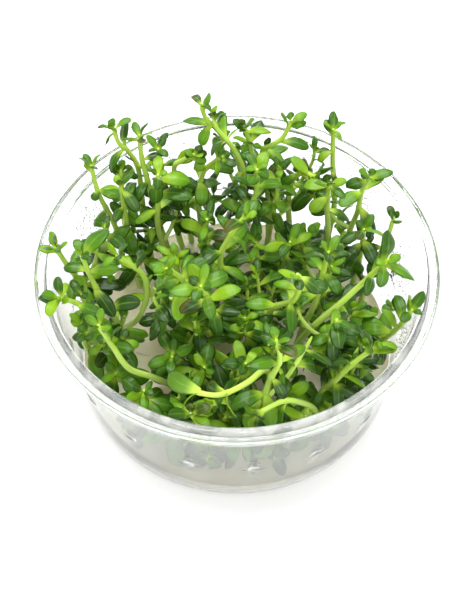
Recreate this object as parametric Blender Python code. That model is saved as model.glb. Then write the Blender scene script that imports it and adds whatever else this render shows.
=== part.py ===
"""A clear cup of tissue-cultured rotala: the turned cup, the disc of nutrient gel in it,
and the young shoots that stand in the gel. Metres, +Z up, origin under the middle of the cup."""

import math
import random

import bmesh
import bpy
from mathutils import Matrix, Vector
from mathutils.bvhtree import BVHTree

MM = 0.001

# The cup
RIM_RADIUS = 50.0 * MM
CUP_HEIGHT = 46.0 * MM
BASE_RADIUS = 44.4 * MM
WALL = 0.9 * MM
FOOT_FILLET = 3.0 * MM
WALL_TOP = CUP_HEIGHT - 3.4 * MM
WALL_TOP_RADIUS = RIM_RADIUS - 3.1 * MM
LEDGE_DEPTH = 1.8 * MM
BEAD_HEIGHT = 0.4 * MM
BEAD_FROM = 2.2 * MM
BEAD_WIDTH = 1.5 * MM
LIP_EASE = 0.3 * MM
LIP_STEP = 0.5 * MM
CUP_SIDES = 36
LUG_COUNT = 18
LUG_HEIGHT = 20.0 * MM
LUG_LENGTH = 5.6 * MM
LUG_THICKNESS = 1.4 * MM
LUG_PROUD = 0.5 * MM
LUG_SUNK = 0.3 * MM
LUG_FIRST_ANGLE = -85.0

# The gel
GAP = 0.3 * MM
GEL_TOP = 5.6 * MM
GEL_CREEP = 0.7 * MM
GEL_CREEP_WIDTH = 1.6 * MM

# The shoots
STEM_RADIUS = 1.0 * MM
STEM_TIP_RADIUS = 0.6 * MM
TIP_TAPER = 0.7
FOOT_SWELL = 1.1
NODE_SWELL = 1.15
NODE_HALF_HEIGHT = 0.62 * MM
BEND_STEP = 12.0 * MM
TIP_BARE = 2.0 * MM
INTERNODE = 9.3 * MM
YOUNG_INTERNODE = 0.62
INTERNODE_GROWTH = 1.3
LONGEST_INTERNODE = 1.25
LEAF_LENGTH = 8.5 * MM
LEAF_WIDTH_SHARE = 0.46
LEAF_THICKNESS = 0.42 * MM
LEAF_CLEARANCE = 0.32 * MM
YOUNG_SHORTER = 0.25
YOUNG_UNTIL = 0.33
LEAF_LIFT = 18.0
YOUNG_LIFT = 14.0
LENGTH_SPREAD = (0.80, 1.12)
WIDTH_SPREAD = (0.80, 1.25)
LIFT_SPREAD = (-18, 16)
DROOP_SPREAD = (40, 115)
SWEEP_SPREAD = (-14, 14)
TRY_LIFTS = [0, 10, -14, 10, -14, 10, -14]
TRY_SWEEPS = [0, 0, 0, 9, 18, 27, 36]
TRY_SHORTER = 0.09
PLACED_DROOP = (50, 90)
PLACED_LENGTH = (4.6 * MM, 9.5 * MM)
PLACED_WIDTH_SHARE = 0.48
NARROWEST_PLACED = 2.5 * MM
PLACED_LIFT = (-45, 65)
MOUTH_MARGIN = 0.6 * MM
LEAVES_WITHIN = 42.3 * MM
OVER_RIM = CUP_HEIGHT + 1.5 * MM
LOWEST_LEAF = GEL_TOP + 1.2 * MM
OPEN_FROM = (0.0, -125.0 * MM, 211.0 * MM)
OPEN_ABOVE = 14.0 * MM
SEED = 31

# Stations along a leaf: share of its length, and share of its full width there
LEAF_STATIONS = [(0.56, 1.0), (1.0, 0.36)]

# Each shoot: the share of its stem that is bare, and where the stem goes, root first, as
# (x, y, z) in whole millimetres
SHOOTS = {
    "shoot_back_tall": (
        0.6, [(2, 37, 6), (2, 37, 26), (0, 36, 44), (-4, 35, 53), (-8, 34, 60), (-9, 34, 65)]
    ),
    "shoot_back_twin": (
        0.6, [(-2, 34, 6), (1, 34, 24), (2, 33, 40), (-1, 32, 51), (-5, 32, 58), (-6, 33, 61)]
    ),
    "shoot_back_middle": (0.4, [(6, 38, 6), (6, 37, 30), (4, 36, 46), (2, 34, 57)]),
    "shoot_back_hook": (
        0.7, [(10, 37, 6), (9, 38, 28), (7, 37, 44), (9, 34, 50), (12, 33, 54), (14, 33, 60)]
    ),
    "shoot_back_right": (0.5, [(26, 28, 6), (28, 32, 28), (26, 33, 45), (25, 33, 57)]),
    "shoot_back_upright": (0.4, [(9, 31, 6), (10, 29, 26), (11, 27, 38), (11, 26, 50)]),
    "shoot_back_arch": (0.6, [(17, 33, 6), (15, 33, 26), (15, 31, 38), (17, 27, 47), (20, 23, 50)]),
    "shoot_back_bent": (0.4, [(-10, 35, 6), (-11, 33, 28), (-9, 31, 43), (-4, 28, 52)]),
    "shoot_back_side": (
        0.5, [(-14, 36, 6), (-15, 33, 28), (-17, 31, 44), (-14, 30, 49), (-11, 29, 52)]
    ),
    "shoot_back_left": (0.4, [(-17, 34, 6), (-20, 36, 28), (-21, 33, 50)]),
    "shoot_right_bright": (0.5, [(27, 23, 6), (26, 22, 24), (24, 20, 42), (23, 16, 55)]),
    "shoot_right_fork": (0.6, [(30, 24, 6), (32, 24, 26), (33, 23, 36), (33, 22, 46), (34, 20, 53)]),
    "shoot_right_low": (0.3, [(33, 14, 6), (35, 18, 22), (33, 12, 42)]),
    "shoot_right_curl": (0.4, [(36, 11, 6), (38, 14, 20), (40, 14, 33), (41, 15, 43)]),
    "shoot_right_lean": (
        0.8, [(15, -8, 6), (16, -10, 20), (20, -12, 34), (25, -12, 43), (30, -11, 51), (34, -12, 61)]
    ),
    "shoot_right_edge": (0.3, [(36, -4, 6), (38, -11, 24), (40, -16, 40), (41, -17, 48)]),
    "shoot_right_front": (0.2, [(31, -13, 6), (32, -17, 22), (31, -20, 36)]),
    "shoot_right_short": (
        0.5, [(22, -20, 6), (22, -24, 20), (24, -27, 32), (28, -26, 39), (32, -25, 44)]
    ),
    "shoot_left_tall": (0.5, [(-33, 20, 6), (-34, 24, 26), (-37, 24, 42), (-38, 26, 51)]),
    "shoot_left_top": (
        0.5, [(-26, 28, 6), (-27, 32, 26), (-27, 33, 42), (-29, 33, 49), (-31, 32, 53), (-32, 33, 58)]
    ),
    "shoot_left_upright": (
        0.4, [(-20, 29, 6), (-23, 30, 26), (-24, 28, 42), (-25, 29, 50), (-25, 30, 58)]
    ),
    "shoot_left_dark": (0.3, [(-30, 24, 6), (-32, 27, 26), (-31, 29, 46)]),
    "shoot_left_brown": (0.5, [(-20, 24, 6), (-22, 23, 28), (-21, 21, 42), (-20, 20, 54)]),
    "shoot_left_inner": (0.4, [(-29, 19, 6), (-31, 23, 22), (-30, 20, 40), (-30, 20, 50)]),
    "shoot_left_edge": (0.3, [(-37, 10, 6), (-41, 6, 24), (-42, 0, 40), (-44, -1, 51)]),
    "shoot_left_pale": (
        0.4, [(-30, -3, 6), (-31, -5, 18), (-32, -7, 30), (-35, -7, 44), (-36, -8, 58)]
    ),
    "shoot_left_reach": (
        0.4, [(-36, -1, 6), (-35, -4, 20), (-36, -9, 34), (-38, -14, 46), (-41, -17, 53)]
    ),
    "shoot_left_hang": (0.3, [(-35, -10, 6), (-38, -14, 22), (-38, -17, 34), (-38, -16, 40)]),
    "shoot_left_bow": (
        0.8, [(-33, 4, 6), (-30, 0, 14), (-26, -4, 25), (-23, -5, 36), (-23, -6, 47), (-28, -8, 57)]
    ),
    "shoot_front_left": (
        0.8, [(-14, -17, 6), (-17, -20, 16), (-21, -24, 28), (-26, -26, 36), (-29, -25, 45), (-31, -25, 54)]
    ),
    "shoot_front_left_low": (0.2, [(-25, -25, 6), (-24, -28, 20), (-22, -32, 36)]),
    "shoot_front_sweep": (
        0.8, [(8, -22, 6), (8, -25, 30), (6, -30, 42), (2, -36, 47), (-4, -40, 49), (-10, -39, 49)]
    ),
    "shoot_front_tall": (0.4, [(5, -31, 6), (6, -33, 28), (7, -35, 45), (9, -36, 57), (8, -35, 64)]),
    "shoot_front_arch": (
        0.7, [(22, -27, 6), (19, -32, 26), (14, -36, 38), (10, -38, 42), (4, -41, 41)]
    ),
    "shoot_front_middle": (0.2, [(0, -17, 6), (1, -24, 26), (2, -28, 42)]),
    "shoot_front_right": (0.4, [(23, -5, 6), (23, -16, 34), (22, -25, 56)]),
    "shoot_front_low": (0.2, [(13, -20, 6), (13, -26, 20), (12, -31, 30)]),
    "shoot_front_edge": (0.2, [(-8, -31, 6), (-9, -34, 20), (-11, -36, 32)]),
    "shoot_near_left": (
        0.5, [(-10, 3, 6), (-11, -2, 26), (-13, -6, 36), (-13, -10, 50), (-16, -13, 59)]
    ),
    "shoot_near_middle": (0.4, [(-6, 5, 6), (-6, -8, 34), (-7, -16, 52), (-8, -20, 62)]),
    "shoot_near_right": (0.6, [(7, 5, 6), (9, -10, 38), (13, -17, 52), (14, -18, 60), (13, -19, 65)]),
    "shoot_middle_tall": (0.4, [(3, 30, 6), (3, 25, 30), (5, 21, 46), (5, 19, 57)]),
    "shoot_middle_kinked": (0.4, [(-3, 13, 6), (-4, 8, 26), (-4, 4, 42), (-1, 3, 52), (2, 3, 58)]),
    "shoot_inner_back": (0.2, [(-8, 22, 6), (-9, 19, 24), (-8, 17, 40)]),
    "shoot_inner_right": (0.2, [(13, 16, 6), (13, 14, 22), (14, 11, 38)]),
    "shoot_inner_front": (0.2, [(9, -10, 6), (9, -14, 20), (8, -17, 32)]),
    "shoot_inner_left": (0.2, [(-17, -8, 6), (-17, -13, 20), (-16, -21, 33)]),
    "shoot_inner_middle": (0.2, [(-15, 12, 6), (-16, 9, 22), (-16, 6, 38)]),
    "shoot_inner_centre": (0.2, [(3, -2, 6), (3, -6, 20), (2, -9, 32)]),
    "shoot_inner_far_right": (0.2, [(18, 22, 6), (18, 19, 22), (19, 15, 36)]),
    "shoot_inner_near": (0.2, [(-9, -16, 6), (-9, -20, 20), (-8, -24, 33)]),
    "shoot_inner_far_side": (0.2, [(23, 2, 6), (23, 1, 20), (23, 0, 32)]),
    "shoot_inner_heart": (0.2, [(5, 13, 6), (6, 14, 20), (5, 13, 35)]),
    "shoot_inner_low_left": (0.2, [(-21, 2, 6), (-20, -1, 20), (-18, -4, 34)]),
    "shoot_right_straight": (
        0.6, [(17, -2, 6), (18, -4, 20), (20, -5, 32), (21, -4, 42), (22, -3, 52)]
    ),
    "shoot_side_right": (0.2, [(24, 10, 6), (24, 9, 20), (25, 6, 34)]),
}

# Leaves at the edge of the thicket: the node each one springs from, counted from the tip of the
# stem, and where it ends, as (x, y, z) in whole millimetres
PLACED_LEAVES = {
    "shoot_back_tall": [(0, (-7, 36, 66)), (1, (-14, 36, 57)), (1, (-9, 30, 54))],
    "shoot_back_twin": [(0, (-3, 33, 62)), (0, (-1, 32, 59))],
    "shoot_left_top": [(0, (-32, 33, 60)), (0, (-34, 32, 53)), (0, (-29, 32, 57))],
    "shoot_left_upright": [(0, (-22, 29, 60)), (0, (-27, 30, 56)), (1, (-20, 30, 50))],
    "shoot_left_tall": [(0, (-43, 29, 51)), (0, (-36, 29, 52)), (1, (-41, 20, 41)), (1, (-31, 21, 44))],
    "shoot_left_dark": [(0, (-37, 30, 45)), (0, (-33, 32, 48)), (0, (-27, 30, 42))],
    "shoot_left_inner": [(0, (-26, 16, 44)), (2, (-34, 22, 41))],
    "shoot_left_brown": [(0, (-21, 18, 46)), (0, (-12, 21, 50)), (1, (-11, 18, 47))],
    "shoot_back_side": [(0, (-9, 29, 49)), (1, (-11, 32, 50))],
    "shoot_back_hook": [(0, (13, 33, 63)), (0, (17, 34, 58)), (1, (19, 32, 51))],
    "shoot_back_middle": [(0, (0, 35, 58)), (0, (9, 35, 54)), (2, (9, 35, 43))],
    "shoot_back_right": [(0, (24, 34, 58)), (0, (27, 33, 53)), (1, (22, 31, 47)), (2, (27, 32, 37))],
    "shoot_back_upright": [(0, (13, 27, 53))],
    "shoot_back_arch": [(0, (14, 27, 53)), (1, (12, 27, 42))],
    "shoot_right_bright": [
        (0, (17, 18, 52)), (0, (30, 19, 54)), (0, (27, 13, 53)),
        (1, (19, 15, 45)), (2, (32, 18, 38)),
    ],
    "shoot_right_fork": [(0, (28, 19, 50)), (0, (37, 21, 52)), (0, (37, 18, 45)), (2, (37, 17, 31))],
    "shoot_right_low": [(0, (27, 10, 39))],
    "shoot_right_curl": [(0, (42, 16, 46)), (0, (43, 12, 43))],
    "shoot_right_lean": [(0, (34, -8, 66)), (0, (40, -15, 57)), (0, (32, -17, 57))],
    "shoot_right_short": [(0, (38, -24, 46)), (0, (30, -29, 48))],
    "shoot_right_edge": [(0, (41, -16, 50))],
    "shoot_left_edge": [(0, (-47, -1, 50)), (0, (-41, -1, 53))],
    "shoot_left_pale": [(0, (-30, -2, 59)), (0, (-38, -5, 58)), (2, (-30, -14, 40))],
    "shoot_left_reach": [(0, (-46, -16, 51)), (0, (-40, -12, 51)), (1, (-32, -17, 46))],
    "shoot_left_hang": [(0, (-38, -19, 31))],
    "shoot_left_bow": [(1, (-21, -8, 58)), (1, (-28, -3, 50))],
    "shoot_front_left": [(0, (-34, -22, 52)), (0, (-36, -19, 55)), (1, (-26, -24, 52))],
    "shoot_front_sweep": [(0, (-17, -37, 51)), (0, (-13, -34, 53)), (0, (-15, -42, 48))],
    "shoot_near_left": [(0, (-20, -11, 58)), (0, (-14, -9, 58)), (1, (-7, -8, 55)), (1, (-17, -13, 50))],
    "shoot_near_right": [(0, (10, -18, 64)), (0, (18, -20, 60)), (3, (2, -12, 43))],
}

# Shoots whose stems lie open to the front, and how many millimetres of air before them no other
# shoot's leaf grows in
OPEN_STEMS = {
    "shoot_left_bow": 24, "shoot_left_pale": 12, "shoot_left_reach": 8, "shoot_left_tall": 8,
    "shoot_left_brown": 12, "shoot_left_top": 8, "shoot_back_tall": 8, "shoot_back_twin": 8,
    "shoot_back_hook": 8, "shoot_back_right": 8, "shoot_back_arch": 8, "shoot_middle_kinked": 8,
    "shoot_near_right": 8, "shoot_right_lean": 24, "shoot_right_fork": 8, "shoot_right_bright": 8,
    "shoot_right_straight": 16, "shoot_right_short": 10, "shoot_front_sweep": 20,
    "shoot_front_arch": 20, "shoot_front_left": 24,
}

# The shoot whose top is cut off: it has no leaves but its placed ones
CUT_SHOOT = "shoot_left_bow"


def clear_scene():
    for thing in list(bpy.data.objects):
        bpy.data.objects.remove(thing, do_unlink=True)


def surface(name, colour, roughness, see_through=0.0):
    """A Principled material of one plain colour."""
    material = bpy.data.materials.new(name)
    material.use_nodes = True
    shader = material.node_tree.nodes["Principled BSDF"]
    shader.inputs["Base Color"].default_value = (*colour, 1.0)
    shader.inputs["Roughness"].default_value = roughness
    shader.inputs["Metallic"].default_value = 0.0
    shader.inputs["Transmission Weight"].default_value = see_through
    return material


def add_object(name, bm, material, smooth_angle):
    bmesh.ops.recalc_face_normals(bm, faces=bm.faces)
    mesh = bpy.data.meshes.new(name)
    bm.to_mesh(mesh)
    bm.free()
    mesh.materials.append(material)
    mesh.shade_smooth()
    mesh.set_sharp_from_angle(angle=math.radians(smooth_angle))
    thing = bpy.data.objects.new(name, mesh)
    bpy.context.scene.collection.objects.link(thing)
    return thing


def turned(outline):
    """A closed solid turned about the Z axis from an outline that starts and ends on it."""
    bm = bmesh.new()
    points = [bm.verts.new((r, 0.0, z)) for r, z in outline]
    edges = [bm.edges.new(pair) for pair in zip(points, points[1:])]
    bmesh.ops.spin(
        bm, geom=points + edges, cent=(0, 0, 0), axis=(0, 0, 1),
        angle=math.tau, steps=CUP_SIDES, use_merge=True,
    )
    bmesh.ops.remove_doubles(bm, verts=bm.verts, dist=0.01 * MM)
    return bm


def fillet(radius_out, height, size, steps):
    """Points of the quarter round between a flat foot and a wall, foot first."""
    turns = [math.radians(90 * i / steps) for i in range(steps + 1)]
    return [
        (radius_out - size + size * math.sin(a), height + size - size * math.cos(a)) for a in turns
    ]


def inner_radius(z, foot=BASE_RADIUS):
    """Radius of the cup's inner wall at a height, or of one that stands on a smaller foot."""
    share = (z - FOOT_FILLET) / (WALL_TOP - FOOT_FILLET)
    return foot - WALL + (WALL_TOP_RADIUS - foot) * share


def cup_outline():
    """Foot, outer wall, the rim's outer lip, the ledge for a lid, the inner bead and the inner wall."""
    outer = [(0.0, 0.0)] + fillet(BASE_RADIUS, 0.0, FOOT_FILLET, 3) + [(WALL_TOP_RADIUS, WALL_TOP)]
    ledge = CUP_HEIGHT - LEDGE_DEPTH
    rim = [
        (WALL_TOP_RADIUS + LIP_STEP, ledge - WALL),
        (RIM_RADIUS - 2 * LIP_EASE, ledge - WALL),
        (RIM_RADIUS, ledge - LIP_EASE),
        (RIM_RADIUS, CUP_HEIGHT - LIP_EASE),
        (RIM_RADIUS - LIP_EASE, CUP_HEIGHT),
        (RIM_RADIUS - WALL, CUP_HEIGHT),
        (RIM_RADIUS - WALL - LIP_EASE, ledge),
        (RIM_RADIUS - BEAD_FROM, ledge),
        (RIM_RADIUS - BEAD_FROM - BEAD_WIDTH * 0.4, CUP_HEIGHT),
        (RIM_RADIUS - BEAD_FROM - BEAD_WIDTH * 0.65, CUP_HEIGHT + BEAD_HEIGHT),
        (RIM_RADIUS - BEAD_FROM - BEAD_WIDTH, CUP_HEIGHT),
    ]
    inner = fillet(BASE_RADIUS - WALL, WALL, FOOT_FILLET - WALL, 2)[::-1] + [(0.0, WALL)]
    return outer + rim + inner


def make_lugs():
    """Small lens-shaped lugs in a row round the wall, which keep stacked cups apart."""
    bm = bmesh.new()
    wall_here = inner_radius(LUG_HEIGHT) + WALL
    shape = Matrix.Diagonal((LUG_PROUD + LUG_SUNK, LUG_LENGTH / 2, LUG_THICKNESS / 2, 1.0))
    for i in range(LUG_COUNT):
        turn = Matrix.Rotation(math.radians(LUG_FIRST_ANGLE + i * 360 / LUG_COUNT), 4, "Z")
        place = turn @ Matrix.Translation((wall_here - LUG_SUNK, 0, LUG_HEIGHT))
        bmesh.ops.create_uvsphere(bm, u_segments=4, v_segments=2, radius=1.0, matrix=place @ shape)
    lugs = add_object("lug_guide", bm, surface("lug_guide", (0.8, 0.8, 0.8), 0.5), 30)
    lugs.hide_render = True
    lugs.display_type = "WIRE"
    return lugs


def make_cup():
    plastic = surface("clear_plastic", (0.93, 0.95, 0.94), 0.06, 0.9)
    cup = add_object("cup", turned(cup_outline()), plastic, 35)
    join = cup.modifiers.new("lugs", "BOOLEAN")
    join.operation = "UNION"
    join.solver = "EXACT"
    join.object = make_lugs()
    return cup


def make_gel():
    """The gel lies on the floor of the cup and creeps up a little at the wall."""
    bottom = WALL + GAP
    side = fillet(BASE_RADIUS - WALL - GAP, bottom, FOOT_FILLET - WALL, 2)
    edge = inner_radius(GEL_TOP + GEL_CREEP) - GAP
    top = [(edge, GEL_TOP + GEL_CREEP), (edge - GEL_CREEP_WIDTH, GEL_TOP), (0.0, GEL_TOP)]
    outline = [(0.0, bottom)] + side + top
    return add_object("gel", turned(outline), surface("gel", (0.80, 0.72, 0.58), 0.35), 35)


def curve_point(points, share):
    """A point on the smooth curve through the given points, at a share of its spans."""
    span = min(int(share * (len(points) - 1)), len(points) - 2)
    t = share * (len(points) - 1) - span
    before, start, end, after = (
        points[max(span - 1, 0)], points[span], points[span + 1], points[min(span + 2, len(points) - 1)]
    )
    return 0.5 * (
        2 * start + (end - before) * t + (2 * before - 5 * start + 4 * end - after) * t * t
        + (3 * start - before - 3 * end + after) * t * t * t
    )


class Stem:
    """The line of one stem, measured along its length, with a frame that doesn't twist."""

    def __init__(self, bare, points, turn, samples=48):
        points = [Vector(p) * MM for p in points]
        self.points = [curve_point(points, i / samples) for i in range(samples + 1)]
        self.reach = [0.0]
        for a, b in zip(self.points, self.points[1:]):
            self.reach.append(self.reach[-1] + (b - a).length)
        self.length = self.reach[-1]
        self.bare = bare * self.length
        self.sides = []
        side = Vector((math.cos(turn), math.sin(turn), 0.0))
        for i in range(samples + 1):
            along = self.direction(i)
            side = (side - along * side.dot(along)).normalized()
            self.sides.append(side)

    def direction(self, i):
        """Along the stem; at the root it is straight up out of the gel."""
        if i == 0:
            return Vector((0.0, 0.0, 1.0))
        before, after = self.points[max(i - 1, 0)], self.points[min(i + 1, len(self.points) - 1)]
        return (after - before).normalized()

    def frame(self, distance):
        """Place, side and direction at a distance from the root."""
        i = max(k for k, reach in enumerate(self.reach[:-1]) if reach <= max(distance, 0.0))
        t = (distance - self.reach[i]) / (self.reach[i + 1] - self.reach[i])
        place = self.points[i].lerp(self.points[i + 1], t)
        along = self.direction(i).lerp(self.direction(i + 1), t).normalized()
        side = self.sides[i].lerp(self.sides[i + 1], t)
        return place, (side - along * side.dot(along)).normalized(), along

    def ring(self, distance, radius):
        """The four corners of the squarish stem."""
        place, side, along = self.frame(distance)
        across = along.cross(side)
        corners = [(1, -1), (1, 1), (-1, 1), (-1, -1)]
        return [place + radius * math.sqrt(0.5) * (u * side + v * across) for u, v in corners]

    def nodes(self):
        """Distances of the leaf nodes from the root: close together near the tip."""
        found = []
        distance = self.length - TIP_BARE
        step = INTERNODE * YOUNG_INTERNODE
        while distance > self.bare:
            found.append(distance)
            distance -= step
            step = min(step * INTERNODE_GROWTH, INTERNODE * LONGEST_INTERNODE)
        return found[::-1]


class Leaf:
    """One leaf: its midrib from the stem to the tip, its direction across, and its upright at
    each station."""

    def __init__(self, place, out, along, length, width, lift, droop):
        self.width = width
        self.across = along.cross(out)
        self.midrib = [place]
        self.uprights = []
        angle, reached = lift, 0.0
        for share, _ in LEAF_STATIONS:
            heading = math.cos(angle) * out + math.sin(angle) * along
            self.midrib.append(self.midrib[-1] + heading * (share - reached) * length)
            self.uprights.append(math.cos(angle) * along - math.sin(angle) * out)
            angle -= droop * (share - reached)
            reached = share

    def rings(self, extra=0.0):
        """Corners of the flat sections, the last one pinched to an edge. Extra makes the leaf fatter."""
        found = []
        for i, (_, breadth) in enumerate(LEAF_STATIONS):
            at_tip = i + 1 == len(LEAF_STATIONS)
            half = self.across * (self.width * breadth / 2 + extra)
            thick = self.uprights[i] * (extra if at_tip else LEAF_THICKNESS / 2 + extra)
            centre = self.midrib[i + 1]
            found.append([
                centre - half - thick, centre + half - thick, centre + half + thick, centre - half + thick,
            ])
        return found


def leaf_shell(base, leaf, extra):
    """Points and triangles of a leaf with the corners of its base, for testing against its neighbours."""
    rings = [base] + leaf.rings(extra)
    points = [p for ring in rings for p in ring]
    faces = [(0, 1, 2), (0, 2, 3)]
    for r in range(len(rings) - 1):
        for k in range(4):
            a, b = 4 * r + k, 4 * r + (k + 1) % 4
            faces += [(a, b, b + 4), (a, b + 4, a + 4)]
    last = 4 * (len(rings) - 1)
    faces += [(last, last + 1, last + 2), (last, last + 2, last + 3)]
    return points, faces


def inside_cup(points):
    """Whether the points are over the gel, clear of the wall and no wider than the rim."""
    for p in points:
        reach = math.hypot(p.x, p.y)
        limit = inner_radius(p.z, LEAVES_WITHIN) if p.z < OVER_RIM else RIM_RADIUS
        if reach > limit - MOUTH_MARGIN or p.z < LOWEST_LEAF:
            return False
    return True


class Thicket:
    """Everything that has grown so far, against which each new leaf is tried."""

    def __init__(self):
        self.points, self.faces, self.owners = [], [], []
        self.tree = None

    def add(self, points, faces, owner):
        start = len(self.points)
        self.points += points
        self.faces += [tuple(start + i for i in face) for face in faces]
        self.owners += [owner] * len(faces)
        self.tree = None

    def is_clear(self, points, faces, owner):
        if self.tree is None:
            self.tree = BVHTree.FromPolygons(self.points, self.faces)
        hits = BVHTree.FromPolygons(points, faces).overlap(self.tree)
        return all(self.owners[other] == owner for _, other in hits)


def stem_rings(stem):
    """Rings of the stem from root to tip, and for each node the index of the ring below it."""
    rings, below = [stem.ring(0.0, STEM_RADIUS * FOOT_SWELL)], []
    nodes = stem.nodes()
    bends = int(nodes[0] / BEND_STEP)
    for i in range(1, bends):
        rings.append(stem.ring(nodes[0] * i / bends, STEM_RADIUS))
    for distance in nodes:
        share = distance / stem.length
        radius = (STEM_RADIUS + (STEM_TIP_RADIUS - STEM_RADIUS) * share ** 2) * NODE_SWELL
        below.append(len(rings))
        rings += [stem.ring(distance + up, radius) for up in (-NODE_HALF_HEIGHT, NODE_HALF_HEIGHT)]
    rings.append(stem.ring(stem.length, STEM_TIP_RADIUS * TIP_TAPER))
    return rings, below


def stem_shell(rings):
    points = [p for ring in rings for p in ring]
    faces = []
    for r in range(len(rings) - 1):
        for k in range(4):
            a, b = 4 * r + k, 4 * r + (k + 1) % 4
            faces += [(a, b, b + 4), (a, b + 4, a + 4)]
    return points, faces


def open_air(stem, depth):
    """A strip that stands on a stem towards the front, which other shoots' leaves keep clear of."""
    points, faces = [], []
    for place in stem.points[::4]:
        if place.z > OPEN_ABOVE:
            points += [place, place + (Vector(OPEN_FROM) - place).normalized() * depth * MM]
    for i in range(0, len(points) - 2, 2):
        faces += [(i, i + 1, i + 3), (i, i + 3, i + 2)]
    return points, faces


def free_leaf(base, out, along, age, draw, effort):
    """A leaf for one side of a node, turned a little further on each new try.
    Age runs from 0 at the tip of the stem, where leaves are small and upright, to 1 at its root."""
    centre = sum(base, Vector()) / 4
    young = max(0.0, 1.0 - age / YOUNG_UNTIL)
    length = LEAF_LENGTH * (1.0 - YOUNG_SHORTER * young) * draw.uniform(*LENGTH_SPREAD)
    length *= 1.0 - TRY_SHORTER * effort
    width = length * LEAF_WIDTH_SHARE * draw.uniform(*WIDTH_SPREAD)
    lift = LEAF_LIFT + YOUNG_LIFT * young + draw.uniform(*LIFT_SPREAD) + TRY_LIFTS[effort]
    droop = draw.uniform(*DROOP_SPREAD)
    sweep = draw.uniform(*SWEEP_SPREAD) + TRY_SWEEPS[effort]
    out = Matrix.Rotation(math.radians(sweep), 3, along) @ out
    return Leaf(centre, out, along, length, width, math.radians(lift), math.radians(droop))


def placed_leaf(base, end, along, age, draw, effort):
    """A leaf that ends at a given point, or near it after the first try."""
    centre = sum(base, Vector()) / 4
    reach = Vector(end) * MM - centre
    out = (reach - along * reach.dot(along)).normalized()
    droop = math.radians(draw.uniform(*PLACED_DROOP))
    first = LEAF_STATIONS[0][0]
    bent = first * droop
    straight = Vector((first, 0.0)) + Vector((math.cos(bent), -math.sin(bent))) * (1 - first)
    length = min(max(reach.length / straight.length, PLACED_LENGTH[0]), PLACED_LENGTH[1])
    length *= 1.0 - TRY_SHORTER * effort
    width = max(length * PLACED_WIDTH_SHARE * draw.uniform(*WIDTH_SPREAD), NARROWEST_PLACED)
    lift = math.degrees(math.atan2(reach.dot(along), reach.dot(out)) - math.atan2(straight.y, straight.x))
    lift = min(max(lift + TRY_LIFTS[effort], PLACED_LIFT[0]), PLACED_LIFT[1])
    out = Matrix.Rotation(math.radians(TRY_SWEEPS[effort] * (1 - 2 * (effort % 2))), 3, along) @ out
    return Leaf(centre, out, along, length, width, math.radians(lift), droop)


def grow(shoots):
    """The rings of every stem and its leaves, each leaf kept clear of all that grew before it."""
    draw = random.Random(SEED)
    thicket = Thicket()
    stems = {}
    for name, (bare, points) in shoots.items():
        stem = Stem(bare, points, draw.uniform(0.0, math.tau))
        rings, below = stem_rings(stem)
        stems[name] = (stem, rings, below, {})
        thicket.add(*stem_shell(rings), name)
    for name, depth in OPEN_STEMS.items():
        thicket.add(*open_air(stems[name][0], depth), name)

    def put(name, node, face, shape, aim):
        """Grows a leaf on one side of a node if there is room for it."""
        stem, rings, below, leaves = stems[name]
        distance = stem.nodes()[node]
        low, high, after = rings[below[node]], rings[below[node] + 1], (face + 1) % 4
        base = [low[face], low[after], high[after], high[face]]
        for effort in range(len(TRY_LIFTS)):
            leaf = shape(base, aim, stem.frame(distance)[2], 1.0 - distance / stem.length, draw, effort)
            points, faces = leaf_shell(base, leaf, LEAF_CLEARANCE)
            if inside_cup(points[4:]) and thicket.is_clear(points, faces, name):
                leaves[(node, face)] = leaf
                thicket.add(*leaf_shell(base, leaf, 0.0), (name, node, face))
                return

    def outward(name, node, face):
        """The direction in which one side of a stem faces."""
        stem = stems[name][0]
        _, side, along = stem.frame(stem.nodes()[node])
        return Matrix.Rotation(math.radians(90 * face), 3, along) @ side

    taken = set()
    for name, wanted in PLACED_LEAVES.items():
        stem = stems[name][0]
        for back, end in wanted:
            node = len(stem.nodes()) - 1 - back
            reach = Vector(end) * MM - stem.frame(stem.nodes()[node])[0]
            free = [face for face in range(4) if (name, node, face) not in taken]
            face = max(free, key=lambda k: outward(name, node, k).dot(reach))
            taken.add((name, node, face))
            put(name, node, face, placed_leaf, end)
    for name, (stem, _, below, _) in stems.items():
        for node in range(len(below) - 1, -1, -1):
            if name == CUT_SHOOT or any((name, node, face) in taken for face in range(4)):
                continue
            for face in ((0, 2) if node % 2 else (1, 3)):
                put(name, node, face, free_leaf, outward(name, node, face))
    return stems


def draw_out(bm, face, corners):
    """Extrude a four-sided face to new corners, given in the order of its own corners."""
    made = bmesh.ops.extrude_discrete_faces(bm, faces=[face])["faces"][0]
    for vert, corner in zip(made.verts, corners):
        vert.co = corner
    return made


def make_shoot(name, rings, below, leaves, material):
    """One closed skin: a four-sided stem whose faces at the nodes are drawn out into leaves."""
    bm = bmesh.new()
    loops = [[bm.verts.new(p) for p in ring] for ring in rings]
    sides = {}
    for r in range(len(loops) - 1):
        for k in range(4):
            n = (k + 1) % 4
            sides[r, k] = bm.faces.new((loops[r][k], loops[r][n], loops[r + 1][n], loops[r + 1][k]))
    bm.faces.new(loops[0][::-1])
    bm.faces.new(loops[-1])
    for (node, k), leaf in leaves.items():
        face = sides[below[node], k]
        for corners in leaf.rings():
            face = draw_out(bm, face, corners)
        bmesh.ops.remove_doubles(bm, verts=list(face.verts), dist=0.01 * MM)
    return add_object(name, bm, material, 40)


def make_shoots():
    draw = random.Random(SEED)
    for name, (_, rings, below, leaves) in grow(SHOOTS).items():
        light = draw.uniform(0.75, 1.25)
        green = surface(name + "_green", (0.10 * light, 0.30 * light, 0.03 * light), 0.35)
        make_shoot(name, rings, below, leaves, green)


clear_scene()
make_cup()
make_gel()
make_shoots()
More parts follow.
